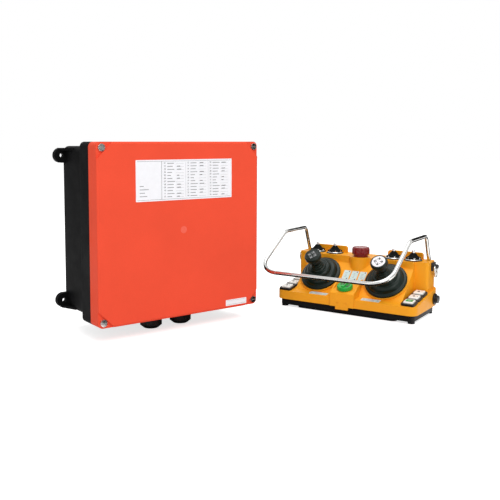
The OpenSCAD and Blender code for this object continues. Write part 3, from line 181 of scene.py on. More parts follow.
class Shader(Tree):
    """A material round one Principled node."""

    def __init__(self, name):
        self.mat = bpy.data.materials.new(name)
        self.mat.use_nodes = True
        super().__init__(self.mat.node_tree)
        self.bsdf = self.tree.nodes["Principled BSDF"]
        self.coords = self.add("ShaderNodeTexCoord").outputs["Object"]

    def fix(self, values):
        """Constants on the sockets of the Principled node."""
        for socket, value in values.items():
            self.bsdf.inputs[socket].default_value = value

    def feed(self, socket, output):
        """An output into a socket of the Principled node."""
        self.link(output, self.bsdf.inputs[socket])

    def noise(self, scale, detail=3.0, rough=0.6, stretch=None):
        node = self.add("ShaderNodeTexNoise")
        node.inputs["Scale"].default_value = scale
        node.inputs["Detail"].default_value = detail
        node.inputs["Roughness"].default_value = rough
        source = self.coords
        if stretch:
            mapping = self.add("ShaderNodeMapping")
            mapping.inputs["Scale"].default_value = stretch
            self.link(self.coords, mapping.inputs["Vector"])
            source = mapping.outputs["Vector"]
        self.link(source, node.inputs["Vector"])
        return node.outputs["Fac"]

    def ramp(self, value, low, high, start=0.0, end=1.0):
        """A value from low to high, mapped to start to end."""
        node = self.add("ShaderNodeMapRange")
        node.inputs["From Min"].default_value = low
        node.inputs["From Max"].default_value = high
        node.inputs["To Min"].default_value = start
        node.inputs["To Max"].default_value = end
        self.link(value, node.inputs["Value"])
        return node.outputs["Result"]

    def mix(self, factor, a, b):
        node = self.add("ShaderNodeMix", data_type="RGBA")
        for value, socket in ((factor, node.inputs[0]), (a, node.inputs[6]), (b, node.inputs[7])):
            if isinstance(value, bpy.types.NodeSocket):
                self.link(value, socket)
            else:
                socket.default_value = value
        return node.outputs[2]

    def bump(self, height, strength, distance, normal=None):
        node = self.add("ShaderNodeBump")
        node.inputs["Strength"].default_value = strength
        node.inputs["Distance"].default_value = distance
        self.link(height, node.inputs["Height"])
        if normal:
            self.link(normal, node.inputs["Normal"])
        return node.outputs["Normal"]

    def soft_edges(self, radius):
        node = self.add("ShaderNodeBevel", samples=6)
        node.inputs["Radius"].default_value = radius
        return node.outputs["Normal"]


# Kinds of material
DUST_COLOR = (0.32, 0.31, 0.29, 1.0)
METAL_EDGE, METAL_STAIN = 0.0003, 0.12
FILM_ROUGH, FILM_MOTTLE = 0.42, 0.05


def moulded(name, color, rough, grain, bump, depth, vary, specular=0.5, edge=0.0006, coat=0.0, dust=0.0,
            sheen=0.0, ior=1.5):
    """Moulded plastic or rubber: uneven tone, fine texture, soft edges and a little dust."""
    s = Shader(name)
    color = linear(*color)
    light = tuple(min(1.0, c * (1 + vary * 0.6) + dust * 0.1) for c in color[:3]) + (1.0,)
    cloud = s.noise(scale=9.0, detail=4.0, rough=0.6)
    tone = s.mix(s.ramp(cloud, low=0.32, high=0.68), shade(color, 1 - vary), light)
    speck = s.ramp(s.noise(scale=grain * 0.55, detail=2.0), low=0.35, high=0.75, end=0.22)
    tone = s.mix(speck, tone, shade(color, 0.8))
    if dust:
        fluff = s.ramp(s.noise(scale=60.0, detail=6.0, rough=0.75), low=0.5, high=0.8, end=dust)
        tone = s.mix(fluff, tone, DUST_COLOR)
    s.feed("Base Color", tone)
    uneven = s.noise(scale=22.0, detail=5.0, rough=0.7)
    s.feed("Roughness", s.ramp(uneven, low=0.3, high=0.7, start=rough - 0.07, end=rough + 0.09))
    normal = s.soft_edges(edge) if edge else None
    s.feed("Normal", s.bump(s.noise(scale=grain, detail=2.0, rough=0.5), bump, depth, normal))
    s.fix({"Specular IOR Level": specular, "IOR": ior, "Coat Weight": coat, "Coat Roughness": 0.15,
           "Sheen Weight": sheen})
    return s.mat


def metal(name, color, rough, brush, scratches):
    """Bare metal: fine scratches or brushing, stains and uneven gloss."""
    s = Shader(name)
    color = (*color, 1)
    stain = s.ramp(s.noise(scale=30.0, detail=5.0, rough=0.7), low=0.35, high=0.7)
    s.feed("Base Color", s.mix(stain, color, shade(color, 1 - METAL_STAIN)))
    s.fix({"Metallic": 1.0})
    fine = s.noise(scale=700.0, detail=3.0, rough=0.7, stretch=brush)
    both = s.mix(0.5, fine, s.noise(scale=40.0, detail=5.0, rough=0.7))
    s.feed("Roughness", s.ramp(both, low=0.35, high=0.68, start=max(0.03, rough - 0.08), end=rough + 0.14))
    s.feed("Normal", s.bump(fine, scratches * 0.3, 0.00006, s.soft_edges(METAL_EDGE)))
    return s.mat


def film(name, color):
    """Printed label film."""
    s = Shader(name)
    color = linear(*color)
    mottle = s.ramp(s.noise(scale=140.0, detail=4.0), low=0.3, high=0.7)
    s.feed("Base Color", s.mix(mottle, color, shade(color, 1 - FILM_MOTTLE)))
    uneven = s.noise(scale=60.0, detail=4.0)
    s.feed("Roughness", s.ramp(uneven, low=0.3, high=0.7, start=FILM_ROUGH - 0.06, end=FILM_ROUGH + 0.1))
    s.feed("Normal", s.bump(s.noise(scale=900.0, detail=2.0), 0.06, 0.00005))
    return s.mat


def circuit(name, color, trace):
    """Solder mask with the faint pattern of the tracks under it."""
    s = Shader(name)
    color = linear(*color)
    brick = s.add("ShaderNodeTexBrick")
    brick.inputs["Scale"].default_value = 150.0
    brick.inputs["Mortar Size"].default_value = 0.06
    brick.inputs["Color1"].default_value = color
    brick.inputs["Color2"].default_value = shade(color, 0.85)
    brick.inputs["Mortar"].default_value = linear(*trace)
    s.link(s.coords, brick.inputs["Vector"])
    patch = s.ramp(s.noise(scale=50.0), low=0.4, high=0.6, end=0.5)
    s.feed("Base Color", s.mix(patch, brick.outputs["Color"], color))
    s.fix({"Roughness": 0.3})
    s.feed("Normal", s.bump(brick.outputs["Fac"], 0.2, 0.0001))
    return s.mat


# Moulded looks: colour in sRGB, bump depth and edge radius in metres
MOULDED = {
    "case_black": dict(color=(14, 14, 15), rough=0.6, grain=900.0, bump=0.25, depth=0.0003, vary=0.18,
                       specular=0.11, dust=0.015, edge=0.0012, ior=1.25),
    "lid_orange": dict(color=(244, 86, 60), rough=0.5, grain=1000.0, bump=0.2, depth=0.00025, vary=0.05,
                       specular=0.12, edge=0.0014, ior=1.22),
    # The lid's orange made lighter for the gate mark: a painted highlight
    "lid_highlight_orange": dict(color=(246, 98, 74), rough=0.5, grain=1000.0, bump=0.1, depth=0.0001, vary=0.05,
                      edge=0.0),
    "housing_orange": dict(color=(250, 168, 30), rough=0.42, grain=1200.0, bump=0.16, depth=0.0002, vary=0.06,
                           specular=0.22, edge=0.0016),
    "base_black": dict(color=(20, 22, 24), rough=0.5, grain=1000.0, bump=0.25, depth=0.0003, vary=0.15,
                       specular=0.2, dust=0.02, edge=0.001),
    "nylon_black": dict(color=(26, 26, 27), rough=0.36, grain=800.0, bump=0.15, depth=0.0002, vary=0.15),
    "bezel_black": dict(color=(20, 19, 19), rough=0.32, grain=1500.0, bump=0.1, depth=0.0001, vary=0.2),
    "rubber_black": dict(color=(34, 37, 36), rough=0.55, grain=600.0, bump=0.2, depth=0.0002, vary=0.15,
                         dust=0.06, edge=0.0004, sheen=0.15),
    "boot_rubber": dict(color=(8, 25, 18), rough=0.34, grain=500.0, bump=0.08, depth=0.0002, vary=0.14,
                        specular=0.24, edge=0.0),
    "knob_black": dict(color=(13, 26, 21), rough=0.36, grain=900.0, bump=0.12, depth=0.0002, vary=0.12,
                       specular=0.3, edge=0.0),
    "toggle_rubber": dict(color=(4, 7, 5), rough=0.5, grain=900.0, bump=0.1, depth=0.0002, vary=0.1,
                          specular=0.07, edge=0.0),
    "stop_red": dict(color=(128, 14, 17), rough=0.32, grain=1500.0, bump=0.06, depth=0.0001, vary=0.12,
                     specular=0.35, coat=0.12, edge=0.0003),
    "key_green": dict(color=(24, 172, 62), rough=0.3, grain=1500.0, bump=0.06, depth=0.0001, vary=0.08,
                      coat=0.2, edge=0.0003),
    "cap_white": dict(color=(248, 246, 240), rough=0.34, grain=1500.0, bump=0.05, depth=0.0001, vary=0.04,
                      coat=0.1, edge=0.0005),
    "paint_black": dict(color=(40, 40, 42), rough=0.38, grain=700.0, bump=0.2, depth=0.0002, vary=0.15),
    "relay_blue": dict(color=(38, 84, 150), rough=0.3, grain=1500.0, bump=0.08, depth=0.0001, vary=0.08),
    "terminal_green": dict(color=(52, 124, 70), rough=0.42, grain=1200.0, bump=0.12, depth=0.0002, vary=0.1,
                           edge=0.0004),
    "iron_grey": dict(color=(92, 94, 98), rough=0.42, grain=500.0, bump=0.3, depth=0.0003, vary=0.2),
    "pack_dark": dict(color=(58, 62, 70), rough=0.36, grain=700.0, bump=0.15, depth=0.0002, vary=0.12,
                      edge=0.001),
}
FILMS = {
    "mark_green": (36, 158, 76),
    "mark_dark": (38, 38, 40),
    "mark_grey": (150, 152, 154),
    "mark_pale": (205, 208, 210),
    "label_white": (249, 250, 254),
    "label_pink": (243, 214, 206),
    "label_cool": (206, 228, 226),
}
METALS = {
    "steel_bright": dict(color=(0.66, 0.66, 0.64), rough=0.11, brush=(1, 1, 1), scratches=0.3),
    "nickel": dict(color=(0.78, 0.78, 0.77), rough=0.2, brush=(1, 1, 1), scratches=0.3),
    "zinc": dict(color=(0.66, 0.67, 0.69), rough=0.34, brush=(1, 6, 1), scratches=0.4),
    "machined": dict(color=(0.56, 0.57, 0.59), rough=0.28, brush=(1, 1, 8), scratches=0.4),
    "brass": dict(color=(0.74, 0.55, 0.24), rough=0.28, brush=(1, 1, 1), scratches=0.3),
}
M = {name: moulded(name, **look) for name, look in MOULDED.items()}
M.update({name: film(name, color) for name, color in FILMS.items()})
M.update({name: metal(name, **look) for name, look in METALS.items()})
M["board_green"] = circuit("board_green", (28, 92, 52), (60, 128, 78))

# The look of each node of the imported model
NODE_LOOK = {
    "case_black": ("receiver_base",),
    "lid_orange": ("receiver_lid",),
    "housing_orange": ("upper_housing", "rear_lips"),
    "base_black": ("lower_housing", "battery_cover", "switch_bodies"),
    "nylon_black": ("gland_bodies", "gland_dome_nuts", "gland_locknuts", "stop_collar"),
    "bezel_black": ("button_bezels", "stick_housings", "side_button"),
    "rubber_black": ("lid_gasket", "gland_seals", "housing_gasket", "toggle_boots"),
    "boot_rubber": ("left_stick_boot", "right_stick_boot"),
    "knob_black": ("left_knob", "right_knob"),
    "stop_red": ("stop_stem", "stop_head"),
    "key_green": ("key_knob",),
    "cap_white": tuple(f"{side}_{row}_button" for side in SIDES for row in ROWS),
    "label_white": ("lid_labels",),
    "label_cool": ("label_plates",),
    "steel_bright": ("lid_screws", "guard_rail", "left_strap_ring", "right_strap_ring"),
    "nickel": ("toggle_nuts",) + tuple(f"{name}_toggle" for name in TOGGLES),
    "zinc": ("plate_screws", "board_screws", "housing_screws", "cover_screws", "mounting_plate",
             "radio_module"),
    "machined": ("left_gimbal", "right_gimbal", "left_stick", "right_stick"),
    "brass": ("board_spacers",),
    "paint_black": ("strap_brackets",),
    "board_green": ("relay_board", "encoder_board"),
    "relay_blue": ("relays",),
    "terminal_green": ("terminal_blocks",),
    "iron_grey": ("supply_transformer",),
    "pack_dark": ("battery_pack",),
}
SMOOTH_ANGLE = 32.0


def smooth_faces(obj):
    obj.data.polygons.foreach_set("use_smooth", [True] * len(obj.data.polygons))


def split_edges(obj, angle):
    """Edges sharper than an angle in degrees stay sharp."""
    split = obj.modifiers.new("split", "EDGE_SPLIT")
    split.split_angle = math.radians(angle)
    split.use_edge_sharp = False


def smooth_look(obj):
    """Round faces look round and flat ones flat, with no change to the shape."""
    smooth_faces(obj)
    weld = obj.modifiers.new("weld", "WELD")
    weld.merge_threshold = 1e-6
    split_edges(obj, SMOOTH_ANGLE)


for look, names in NODE_LOOK.items():
    for name in names:
        node = NODES[name]
        node.data.materials.clear()
        node.data.materials.append(M[look])
        smooth_look(node)


# Helpers for meshes. A shape is a pair of verts in metres and faces.
def piece(name, shape, look, body, matrix, angle=SMOOTH_ANGLE, sharp=True):
    """A visible piece in the frame's coordinates, its object at the origin. With no body it is left
    unattached.
    """
    verts, faces = shape
    mesh = bpy.data.meshes.new(name)
    mesh.from_pydata([tuple(v) for v in verts], [], faces)
    mesh.update()
    mesh.transform(matrix)
    bm = bmesh.new()
    bm.from_mesh(mesh)
    bmesh.ops.remove_doubles(bm, verts=bm.verts, dist=1e-7)
    bmesh.ops.recalc_face_normals(bm, faces=bm.faces)
    bm.to_mesh(mesh)
    bm.free()
    obj = linked(name, mesh)
    mesh.materials.append(M[look])
    smooth_faces(obj)
    if sharp:
        split_edges(obj, angle)
    if body:
        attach(obj, body)
    return obj


# A corner that opens wider than this stays as it is: half its angle, in degrees
STRAIGHT_HALF = 86
# The part of an edge that one fillet may take
FILLET_SHARE = 0.45


def fillet(points, radius, steps=4):
    """An open path of (r, z) points with its inner corners rounded."""
    out = [points[0]]
    for i in range(1, len(points) - 1):
        p, a, b = (np.array(points[k], float) for k in (i, i - 1, i + 1))
        u, v = a - p, b - p
        lu, lv = np.linalg.norm(u), np.linalg.norm(v)
        u, v = u / lu, v / lv
        half = math.acos(max(-1.0, min(1.0, float(u @ v)))) / 2
        if half > math.radians(STRAIGHT_HALF):
            out.append(tuple(p))
            continue
        cut = min(radius / math.tan(half), lu * FILLET_SHARE, lv * FILLET_SHARE)
        for k in range(steps + 1):
            t = k / steps
            q = (1 - t) ** 2 * (p + u * cut) + 2 * t * (1 - t) * p + t ** 2 * (p + v * cut)
            out.append(tuple(q))
    out.append(points[-1])
    return out


def turned(path, segments, wave=None):
    """A shape turned about Z from (r, z) in millimetres. A wave scales the radius by angle and place."""
    verts, faces = [], []
    for r, z in path:
        for k in range(segments):
            a = 2 * math.pi * k / segments
            rr = r * (wave(a, r, z) if wave else 1.0)
            verts.append((rr * math.cos(a) * MM, rr * math.sin(a) * MM, z * MM))
    for i in range(len(path) - 1):
        for k in range(segments):
            n = (k + 1) % segments
            faces.append((i * segments + k, i * segments + n, (i + 1) * segments + n, (i + 1) * segments + k))
    return verts, faces


def capped(path, segments, wave=None):
    """The same, with a fan that closes it at each end of the path."""
    verts, faces = turned(path, segments, wave)
    for ring, z in ((0, path[0][1]), (len(path) - 1, path[-1][1])):
        centre = len(verts)
        verts.append((0, 0, z * MM))
        for k in range(segments):
            faces.append((ring * segments + k, ring * segments + (k + 1) % segments, centre))
    return verts, faces


def round_outline(w, h, r, steps=6):
    """A rectangle round the origin with round corners."""
    pts = []
    for cx, cy, start in ((w / 2 - r, h / 2 - r, 0), (r - w / 2, h / 2 - r, 90), (r - w / 2, r - h / 2, 180),
                          (w / 2 - r, r - h / 2, 270)):
        for k in range(steps + 1):
            a = math.radians(start + 90 * k / steps)
            pts.append((cx + r * math.cos(a), cy + r * math.sin(a)))
    return pts


def lofted(loops, closed_ends=True):
    """A shape through loops of equal count, each a list of (x, y, z) in millimetres."""
    n = len(loops[0])
    verts = [(x * MM, y * MM, z * MM) for loop in loops for x, y, z in loop]
    faces = []
    for i in range(len(loops) - 1):
        for k in range(n):
            m = (k + 1) % n
            faces.append((i * n + k, i * n + m, (i + 1) * n + m, (i + 1) * n + k))
    if closed_ends:
        faces.append(tuple(range(n))[::-1])
        faces.append(tuple((len(loops) - 1) * n + k for k in range(n)))
    return verts, faces


LEAST_CORNER = 0.05


def soft_slab(w, h, r, z0, z1, edge, steps=4):
    """A plate with round corners whose rims are rounded too."""
    angles = [math.radians(90 * k / steps) for k in range(steps + 1)]
    rims = [(edge * (1 - math.sin(a)), z0 + edge * (1 - math.cos(a))) for a in angles]
    rims += [(edge * (1 - math.cos(a)), z1 - edge * (1 - math.sin(a))) for a in angles]
    loops = []
    for inset, z in rims:
        outline = round_outline(w - 2 * inset, h - 2 * inset, max(r - inset, LEAST_CORNER))
        loops.append([(x, y, z) for x, y in outline])
    return lofted(loops)


def joined(parts):
    """Several shapes as one, each with its own matrix."""
    verts, faces = [], []
    for (v, f), matrix in parts:
        base = len(verts)
        verts += [tuple(matrix @ Vector(p)) if matrix else tuple(p) for p in v]
        faces += [tuple(i + base for i in face) for face in f]
    return verts, faces


def flat_shape(points, z, thick):
    """A thin plate from a flat outline in millimetres."""
    return lofted([[(x, y, z) for x, y in points], [(x, y, z + thick) for x, y in points]])


def bar_outline(x0, y0, x1, y1):
    """An upright rectangle between two corners."""
    return [(x0, y0), (x1, y0), (x1, y1), (x0, y1)]


def centred_bar(w, h):
    """A rectangle round the origin."""
    return bar_outline(-w / 2, -h / 2, w / 2, h / 2)


# Radius of the hole that a fan closes on the axis of a capped shape
CORE, GRIP_CORE = 0.02, 0.01


def disc_path(radius, low, high, core=CORE):
    """The half section of a disc."""
    return [(core, low), (radius, low), (radius, high), (core, high)]


# Joystick gaiters, as half sections of (radius, height) over the panel
BOOT = [(37.4, 3.2), (37.7, 4.6), (37.3, 6.4), (35.8, 7.4), (33.6, 7.8), (32.3, 8.6), (31.7, 10.6),
        (30.4, 13.2), (28.0, 15.4), (25.4, 16.2), (23.6, 16.4), (22.8, 17.6), (22.2, 19.6), (20.8, 21.8),
        (18.8, 23.0), (16.8, 23.2), (15.6, 23.6), (15.1, 25.0), (14.1, 26.4), (12.7, 27.0), (12.2, 28.2),
        (12.0, 29.6), (11.1, 30.8), (10.5, 31.3), (10.6, 32.6), (10.2, 34.0), (9.6, 34.6), (9.8, 35.6),
        (9.6, 36.6)]
BOOT_SEGMENTS = 96
# The height at which the lower gaiter ends and the upper one starts
BOOT_SPLIT = 20.4
LOWER_WALL, UPPER_WALL = 1.3, 1.1
# How far the inside lies past the wall, and its least radius
WALL_SLACK, LEAST_BORE = 0.15, 4.4


def smooth_path(points, steps=3):
    """A smooth curve through the points, with some points between each two."""
    p = [np.array(q, float) for q in points]
    p = [2 * p[0] - p[1]] + p + [2 * p[-1] - p[-2]]
    out = []
    for i in range(1, len(p) - 2):
        for k in range(steps):
            t = k / steps
            out.append(tuple(0.5 * ((2 * p[i]) + (p[i + 1] - p[i - 1]) * t
                                    + (2 * p[i - 1] - 5 * p[i] + 4 * p[i + 1] - p[i + 2]) * t ** 2
                                    + (3 * p[i] - p[i - 1] - 3 * p[i + 1] + p[i + 2]) * t ** 3)))
    out.append(tuple(p[-2]))
    return out


def shell_path(path, wall):
    """A path out along the surface and back inside it."""
    back = []
    for i, (r, z) in enumerate(path):
        a = np.array(path[max(0, i - 1)], float)
        b = np.array(path[min(len(path) - 1, i + 1)], float)
        d = b - a
        d /= np.linalg.norm(d)
        back.append((max(r - abs(d[1]) * wall - WALL_SLACK, LEAST_BORE), z - abs(d[0]) * wall))
    back[0] = (path[0][0] - wall, path[0][1])
    back[-1] = (path[-1][0] - wall, path[-1][1])
    return list(path) + back[::-1] + [path[0]]


def gaiter(side, home):
    """The two halves of a gaiter, lower and upper, attached to no body."""
    split = next(i for i, q in enumerate(BOOT) if q[1] >= BOOT_SPLIT)
    lower = shell_path(smooth_path(BOOT[:split + 1]), LOWER_WALL)
    upper = shell_path(smooth_path(BOOT[split:]), UPPER_WALL)
    low = piece(f"{side}_boot_lower", turned(lower, BOOT_SEGMENTS), "boot_rubber", None, home,
                sharp=False)
    up = piece(f"{side}_boot_upper", turned(upper, BOOT_SEGMENTS), "boot_rubber", None, home,
               sharp=False)
    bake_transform(low)
    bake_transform(up)
    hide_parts(f"{side}_stick_boot")


# Joystick grips: half section over the panel, the face on top and its marks
GRIP = [(GRIP_CORE, 38.0), (8.8, 38.0), (9.9, 39.6), (9.9, 41.4), (8.7, 42.8), (8.9, 44.6), (10.6, 46.6),
        (13.8, 48.2), (15.2, 50.4), (15.2, 55.4), (14.4, 57.4), (12.9, 58.0), (12.2, 57.6), (GRIP_CORE, 57.6)]
GRIP_ROUND, GRIP_SEGMENTS = 0.9, 72
GRIP_FACE = disc_path(11.8, 57.4, 57.9, GRIP_CORE)
FACE_ROUND, FACE_SEGMENTS = 0.2, 64
GRIP_ARROW = [(-0.8, 2.4), (0.8, 2.4), (0.8, 5.6), (2.6, 5.6), (0, 9.2), (-2.6, 5.6), (-0.8, 5.6)]
GRIP_CORNER = [(2.9, 2.9), (6.4, 2.9), (6.4, 3.5), (3.5, 3.5), (3.5, 6.4), (2.9, 6.4)]
MARK_LOW, ARROW_THICK, CORNER_THICK = 57.88, 0.1, 0.09
GRIP_ANGLE = 50.0


def grip(side, home):
    """A grip, its face and the cross of four arrows with corners between them. The right face is white."""
    stick = f"{side}_stick_body"
    knob = piece(f"{side}_grip", capped(fillet(GRIP, GRIP_ROUND), GRIP_SEGMENTS), "knob_black", stick,
                 home, GRIP_ANGLE)
    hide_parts(f"{side}_knob")
    face_look, mark_look = ("label_white", "mark_dark") if side == "right" else ("knob_black", "mark_grey")
    piece(f"{side}_grip_face", capped(fillet(GRIP_FACE, FACE_ROUND, 2), FACE_SEGMENTS), face_look, stick,
          home)
    arrows = []
    for k in range(4):
        quarter = turn(90 * k)
        arrows.append((flat_shape(GRIP_ARROW, MARK_LOW, ARROW_THICK), quarter))
        arrows.append((flat_shape(GRIP_CORNER, MARK_LOW, CORNER_THICK), quarter))
    piece(f"{side}_grip_arrows", joined(arrows), mark_look, stick, home)


for side, sx in SIDES.items():
    home = panel(sx * STICK_X)
    gaiter(side, home)
    grip(side, home)

# Toggles: half sections of (radius, height) over the deck
TOGGLE_FOOT = [(13.6, 2.9), (13.7, 5.0), (13.0, 5.9), (11.0, 6.2)]
TOGGLE_BOOT = [(10.2, 6.5), (9.4, 7.4), (8.2, 8.0), (7.8, 8.4), (7.6, 9.3), (6.6, 10.0), (6.2, 10.5),
               (6.1, 11.2), (5.1, 11.9), (4.7, 12.4), (4.6, 13.1), (3.8, 13.8), (3.1, 14.0)]
TOGGLE_BASE = [(11.0, 0.05), (16.0, 0.05), (16.0, 1.2), (15.2, 1.9), (11.0, 1.9), (11.0, 0.05)]
TOGGLE_RING = [(9.6, 1.8), (14.7, 1.8), (14.7, 2.2), (13.9, 2.95), (9.6, 2.95), (9.6, 1.8)]
TOGGLE_MOUTH = (9.6, 2.9)
TOGGLE_WALL, TOGGLE_ROOF, TOGGLE_BORE = 1.0, 0.5, 2.4
FOOT_ROUND, RING_ROUND = 0.5, 0.2
HEX_TOP, HEX_RADIUS = 6.0, 11.2
BOOT_AROUND, RING_AROUND = 72, 64
TOGGLE_ANGLE = 40.0


def hex_foot(a, r, z):
    """Six flats on the foot of the boot, round above it."""
    flat = math.cos(math.radians(30)) / math.cos((a + math.radians(30)) % math.radians(60) - math.radians(30))
    return flat if z < HEX_TOP and r > HEX_RADIUS else 1.0


def toggle(side, x):
    """The boot, its round base and the bright ring between them."""
    home = tilted(x, TOGGLE_Y, DECK, 0)
    skin = smooth_path(TOGGLE_BOOT)
    outer = fillet(TOGGLE_FOOT + TOGGLE_BOOT[:1], FOOT_ROUND, 3)[:-1] + skin
    inner = [(max(r - TOGGLE_WALL, TOGGLE_BORE), z - TOGGLE_ROOF) for r, z in skin][::-1] + [TOGGLE_MOUTH]
    shape = turned(outer + inner + [outer[0]], BOOT_AROUND, hex_foot)
    boot = piece(f"{side}_toggle_boot", shape, "toggle_rubber", None, home, TOGGLE_ANGLE)
    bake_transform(boot)
    if side == "left_outer":
        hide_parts("toggle_boots")
    piece(f"{side}_toggle_base", turned(fillet(TOGGLE_BASE, FOOT_ROUND, 3), RING_AROUND), "bezel_black",
          "transmitter", home, TOGGLE_ANGLE)
    piece(f"{side}_toggle_ring", turned(fillet(TOGGLE_RING, RING_ROUND, 3), RING_AROUND), "steel_bright",
          "transmitter", home, TOGGLE_ANGLE)


for side, x in TOGGLES.items():
    toggle(side, x)

# Stop button: half sections over the deck, grip notches and turn arrows
STOP_HEAD = [(13.4, 9.8), (13.4, 4.6), (15.3, 4.6), (16.0, 6.0), (16.0, 14.4), (15.0, 17.3), (13.4, 18.0),
             (12.4, 17.5), (CORE, 17.2)]
STOP_SLEEVE = [(12.05, 0.05), (13.1, 0.05), (13.1, 5.1), (11.0, 5.1), (11.0, 5.02), (12.05, 5.02),
               (12.05, 0.05)]
STOP_ROUND, SLEEVE_ROUND = 0.8, 0.2
STOP_ANGLE = 40.0
STOP_AROUND, SLEEVE_AROUND = 144, 96
NOTCHES, NOTCH_DEPTH_SHARE = 12, 0.085
NOTCH_LOW, NOTCH_HIGH, NOTCH_RADIUS = 6.5, 17.9, 14.5
ARC_RADII = (8.6, 7.2)
ARC_START, ARC_STEP, ARC_POINTS = 20, 9, 13
TIP_ANGLE, TIP_LEAD = 128, 0.42
TIP_RADII = (10.2, 7.9, 5.6)
STOP_MARK_LOW, STOP_MARK_THICK = 17.3, 0.16


def stop_wave(a, r, z):
    """Notches round the rim of the stop button."""
    notch = max(0.0, math.cos(NOTCHES * a)) ** 6
    return 1 - NOTCH_DEPTH_SHARE * notch * (1 if NOTCH_LOW < z < NOTCH_HIGH and r > NOTCH_RADIUS else 0)


def polar(radius, angle):
    """A point at a radius and an angle."""
    return radius * math.cos(angle), radius * math.sin(angle)


def stop_button():
    """The mushroom, the sleeve under it and two turn arrows."""
    home = tilted(0, STOP_Y, DECK, 0)
    head = capped(fillet(STOP_HEAD, STOP_ROUND), STOP_AROUND, stop_wave)
    mushroom = piece("stop_mushroom", head, "stop_red", "stop_head_body", home, STOP_ANGLE)
    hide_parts("stop_head")
    sleeve = turned(fillet(STOP_SLEEVE, SLEEVE_ROUND, 2), SLEEVE_AROUND)
    piece("stop_sleeve", sleeve, "stop_red", "transmitter", home, STOP_ANGLE)
    angles = [math.radians(ARC_START + ARC_STEP * t) for t in range(ARC_POINTS)]
    arc = [polar(ARC_RADII[0], a) for a in angles] + [polar(ARC_RADII[1], a) for a in reversed(angles)]
    tip = math.radians(TIP_ANGLE)
    arrow_tip = [polar(r, a) for r, a in zip(TIP_RADII, (tip, tip + TIP_LEAD, tip))]
    arrows = []
    for k in range(2):
        for outline in (arc, arrow_tip):
            arrows.append((flat_shape(outline, STOP_MARK_LOW, STOP_MARK_THICK), turn(180 * k)))
    piece("stop_arrows", joined(arrows), "label_pink", "stop_head_body", home)


stop_button()

# Green key knob: half section over the hump, the bar across it, painted shade in its slot and beside it
KEY_DISC = [(CORE, 0.5), (13.2, 0.5), (14.0, 1.2), (14.0, 6.6), (13.0, 8.0), (11.6, 8.0), (10.8, 7.2),
            (CORE, 7.2)]
KEY_ROUND, KEY_AROUND = 0.5, 144
KEY_ANGLE = 40.0
KEY_RIBS, RIB_DEPTH_SHARE = 18, 0.05
RIB_LOW, RIB_HIGH, RIB_RADIUS = 1.0, 7.6, 11
KEY_BAR = dict(w=6.4, h=21.4, r=2.6, z0=6.6, z1=10.3, edge=0.9)
# Painted shade: a dark slab for the inside of the slot, and dark spots beside the bar
KEY_SLOT_SHADE = dict(w=2.8, h=9.0, r=1.1, z0=10.18, z1=10.4, edge=0.05, steps=1)
KEY_SHADE_SPOT = disc_path(2.5, 7.1, 7.32)
DOT_AROUND = 32
SHADE_SPOT_PLACES = ((7.0, 2.4), (-7.0, 2.8), (6.6, -4.2))


def key_wave(a, r, z):
    """Fine ribs round the key knob."""
    rib = 0.5 + 0.5 * math.cos(KEY_RIBS * a)
    return 1 - RIB_DEPTH_SHARE * rib * (1 if RIB_LOW < z < RIB_HIGH and r > RIB_RADIUS else 0)


def key():
    """The knob, painted shade in the slot of its bar, and three spots of painted shade beside the bar."""
    home = tilted(0, KEY_Y, KEY_Z, HUMP)
    disc = capped(fillet(KEY_DISC, KEY_ROUND, 3), KEY_AROUND, key_wave)
    shape = joined([(disc, None), (soft_slab(**KEY_BAR), None)])
    knob = piece("key_grip", shape, "key_green", "key_knob_body", home, KEY_ANGLE)
    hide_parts("key_knob")
    # Dark colour painted as the shade inside the slot and beside the bar
    piece("key_slot_shade", soft_slab(**KEY_SLOT_SHADE), "mark_dark", "key_knob_body", home)
    shade_spots = [(capped(KEY_SHADE_SPOT, DOT_AROUND), shift(x, y)) for x, y in SHADE_SPOT_PLACES]
    piece("key_shade_spots", joined(shade_spots), "mark_dark", "key_knob_body", home)


key()

# Push buttons: frames round the bezels as (width taken off, height, corner radius), caps and their marks
FRAME_W, FRAME_H = 24.0, 24.2
FRAME_PATH = [(0.0, 0.03, 4.4), (0.0, 2.8, 4.4), (0.3, 3.6, 4.2), (1.0, 4.1, 3.8), (2.1, 4.3, 3.3),
              (5.2, 4.3, 2.5), (5.7, 4.02, 2.4), (1.95, 4.02, 3.0), (1.95, 0.03, 3.0), (0.0, 0.03, 4.4)]
BUTTON_ANGLE = 50.0
CAP = dict(w=17.2, h=17.2, r=2.4, z0=-4.2, z1=6.4, edge=1.5)
GREEN_FIELD = dict(w=12.2, h=10.0, r=1.6, z0=6.3, z1=6.48, edge=0.05, steps=1)
GREEN_BAR = dict(w=5.4, h=1.5, r=0.5, z0=6.44, z1=6.56, edge=0.04, steps=1)
FIELD_Y = 0.6
RING_MARK = disc_path(2.3, 6.3, 6.48)
RING_PLACE, POINTER_PLACE = (-0.8, 0.4), (0, 0.4)
POINTER = [(4.4, -1.3), (6.3, 0), (4.4, 1.3)]
POINTER_LOW, POINTER_THICK = 6.34, 0.14


def button_frame(side, row, home):
    """The black frame that widens a bezel."""
    loops = []
    for less, z, r in FRAME_PATH:
        loops.append([(x, y, z) for x, y in round_outline(FRAME_W - less, FRAME_H - less, r)])
    piece(f"{side}_{row}_frame", lofted(loops, False), "bezel_black", "transmitter", home,
          BUTTON_ANGLE)


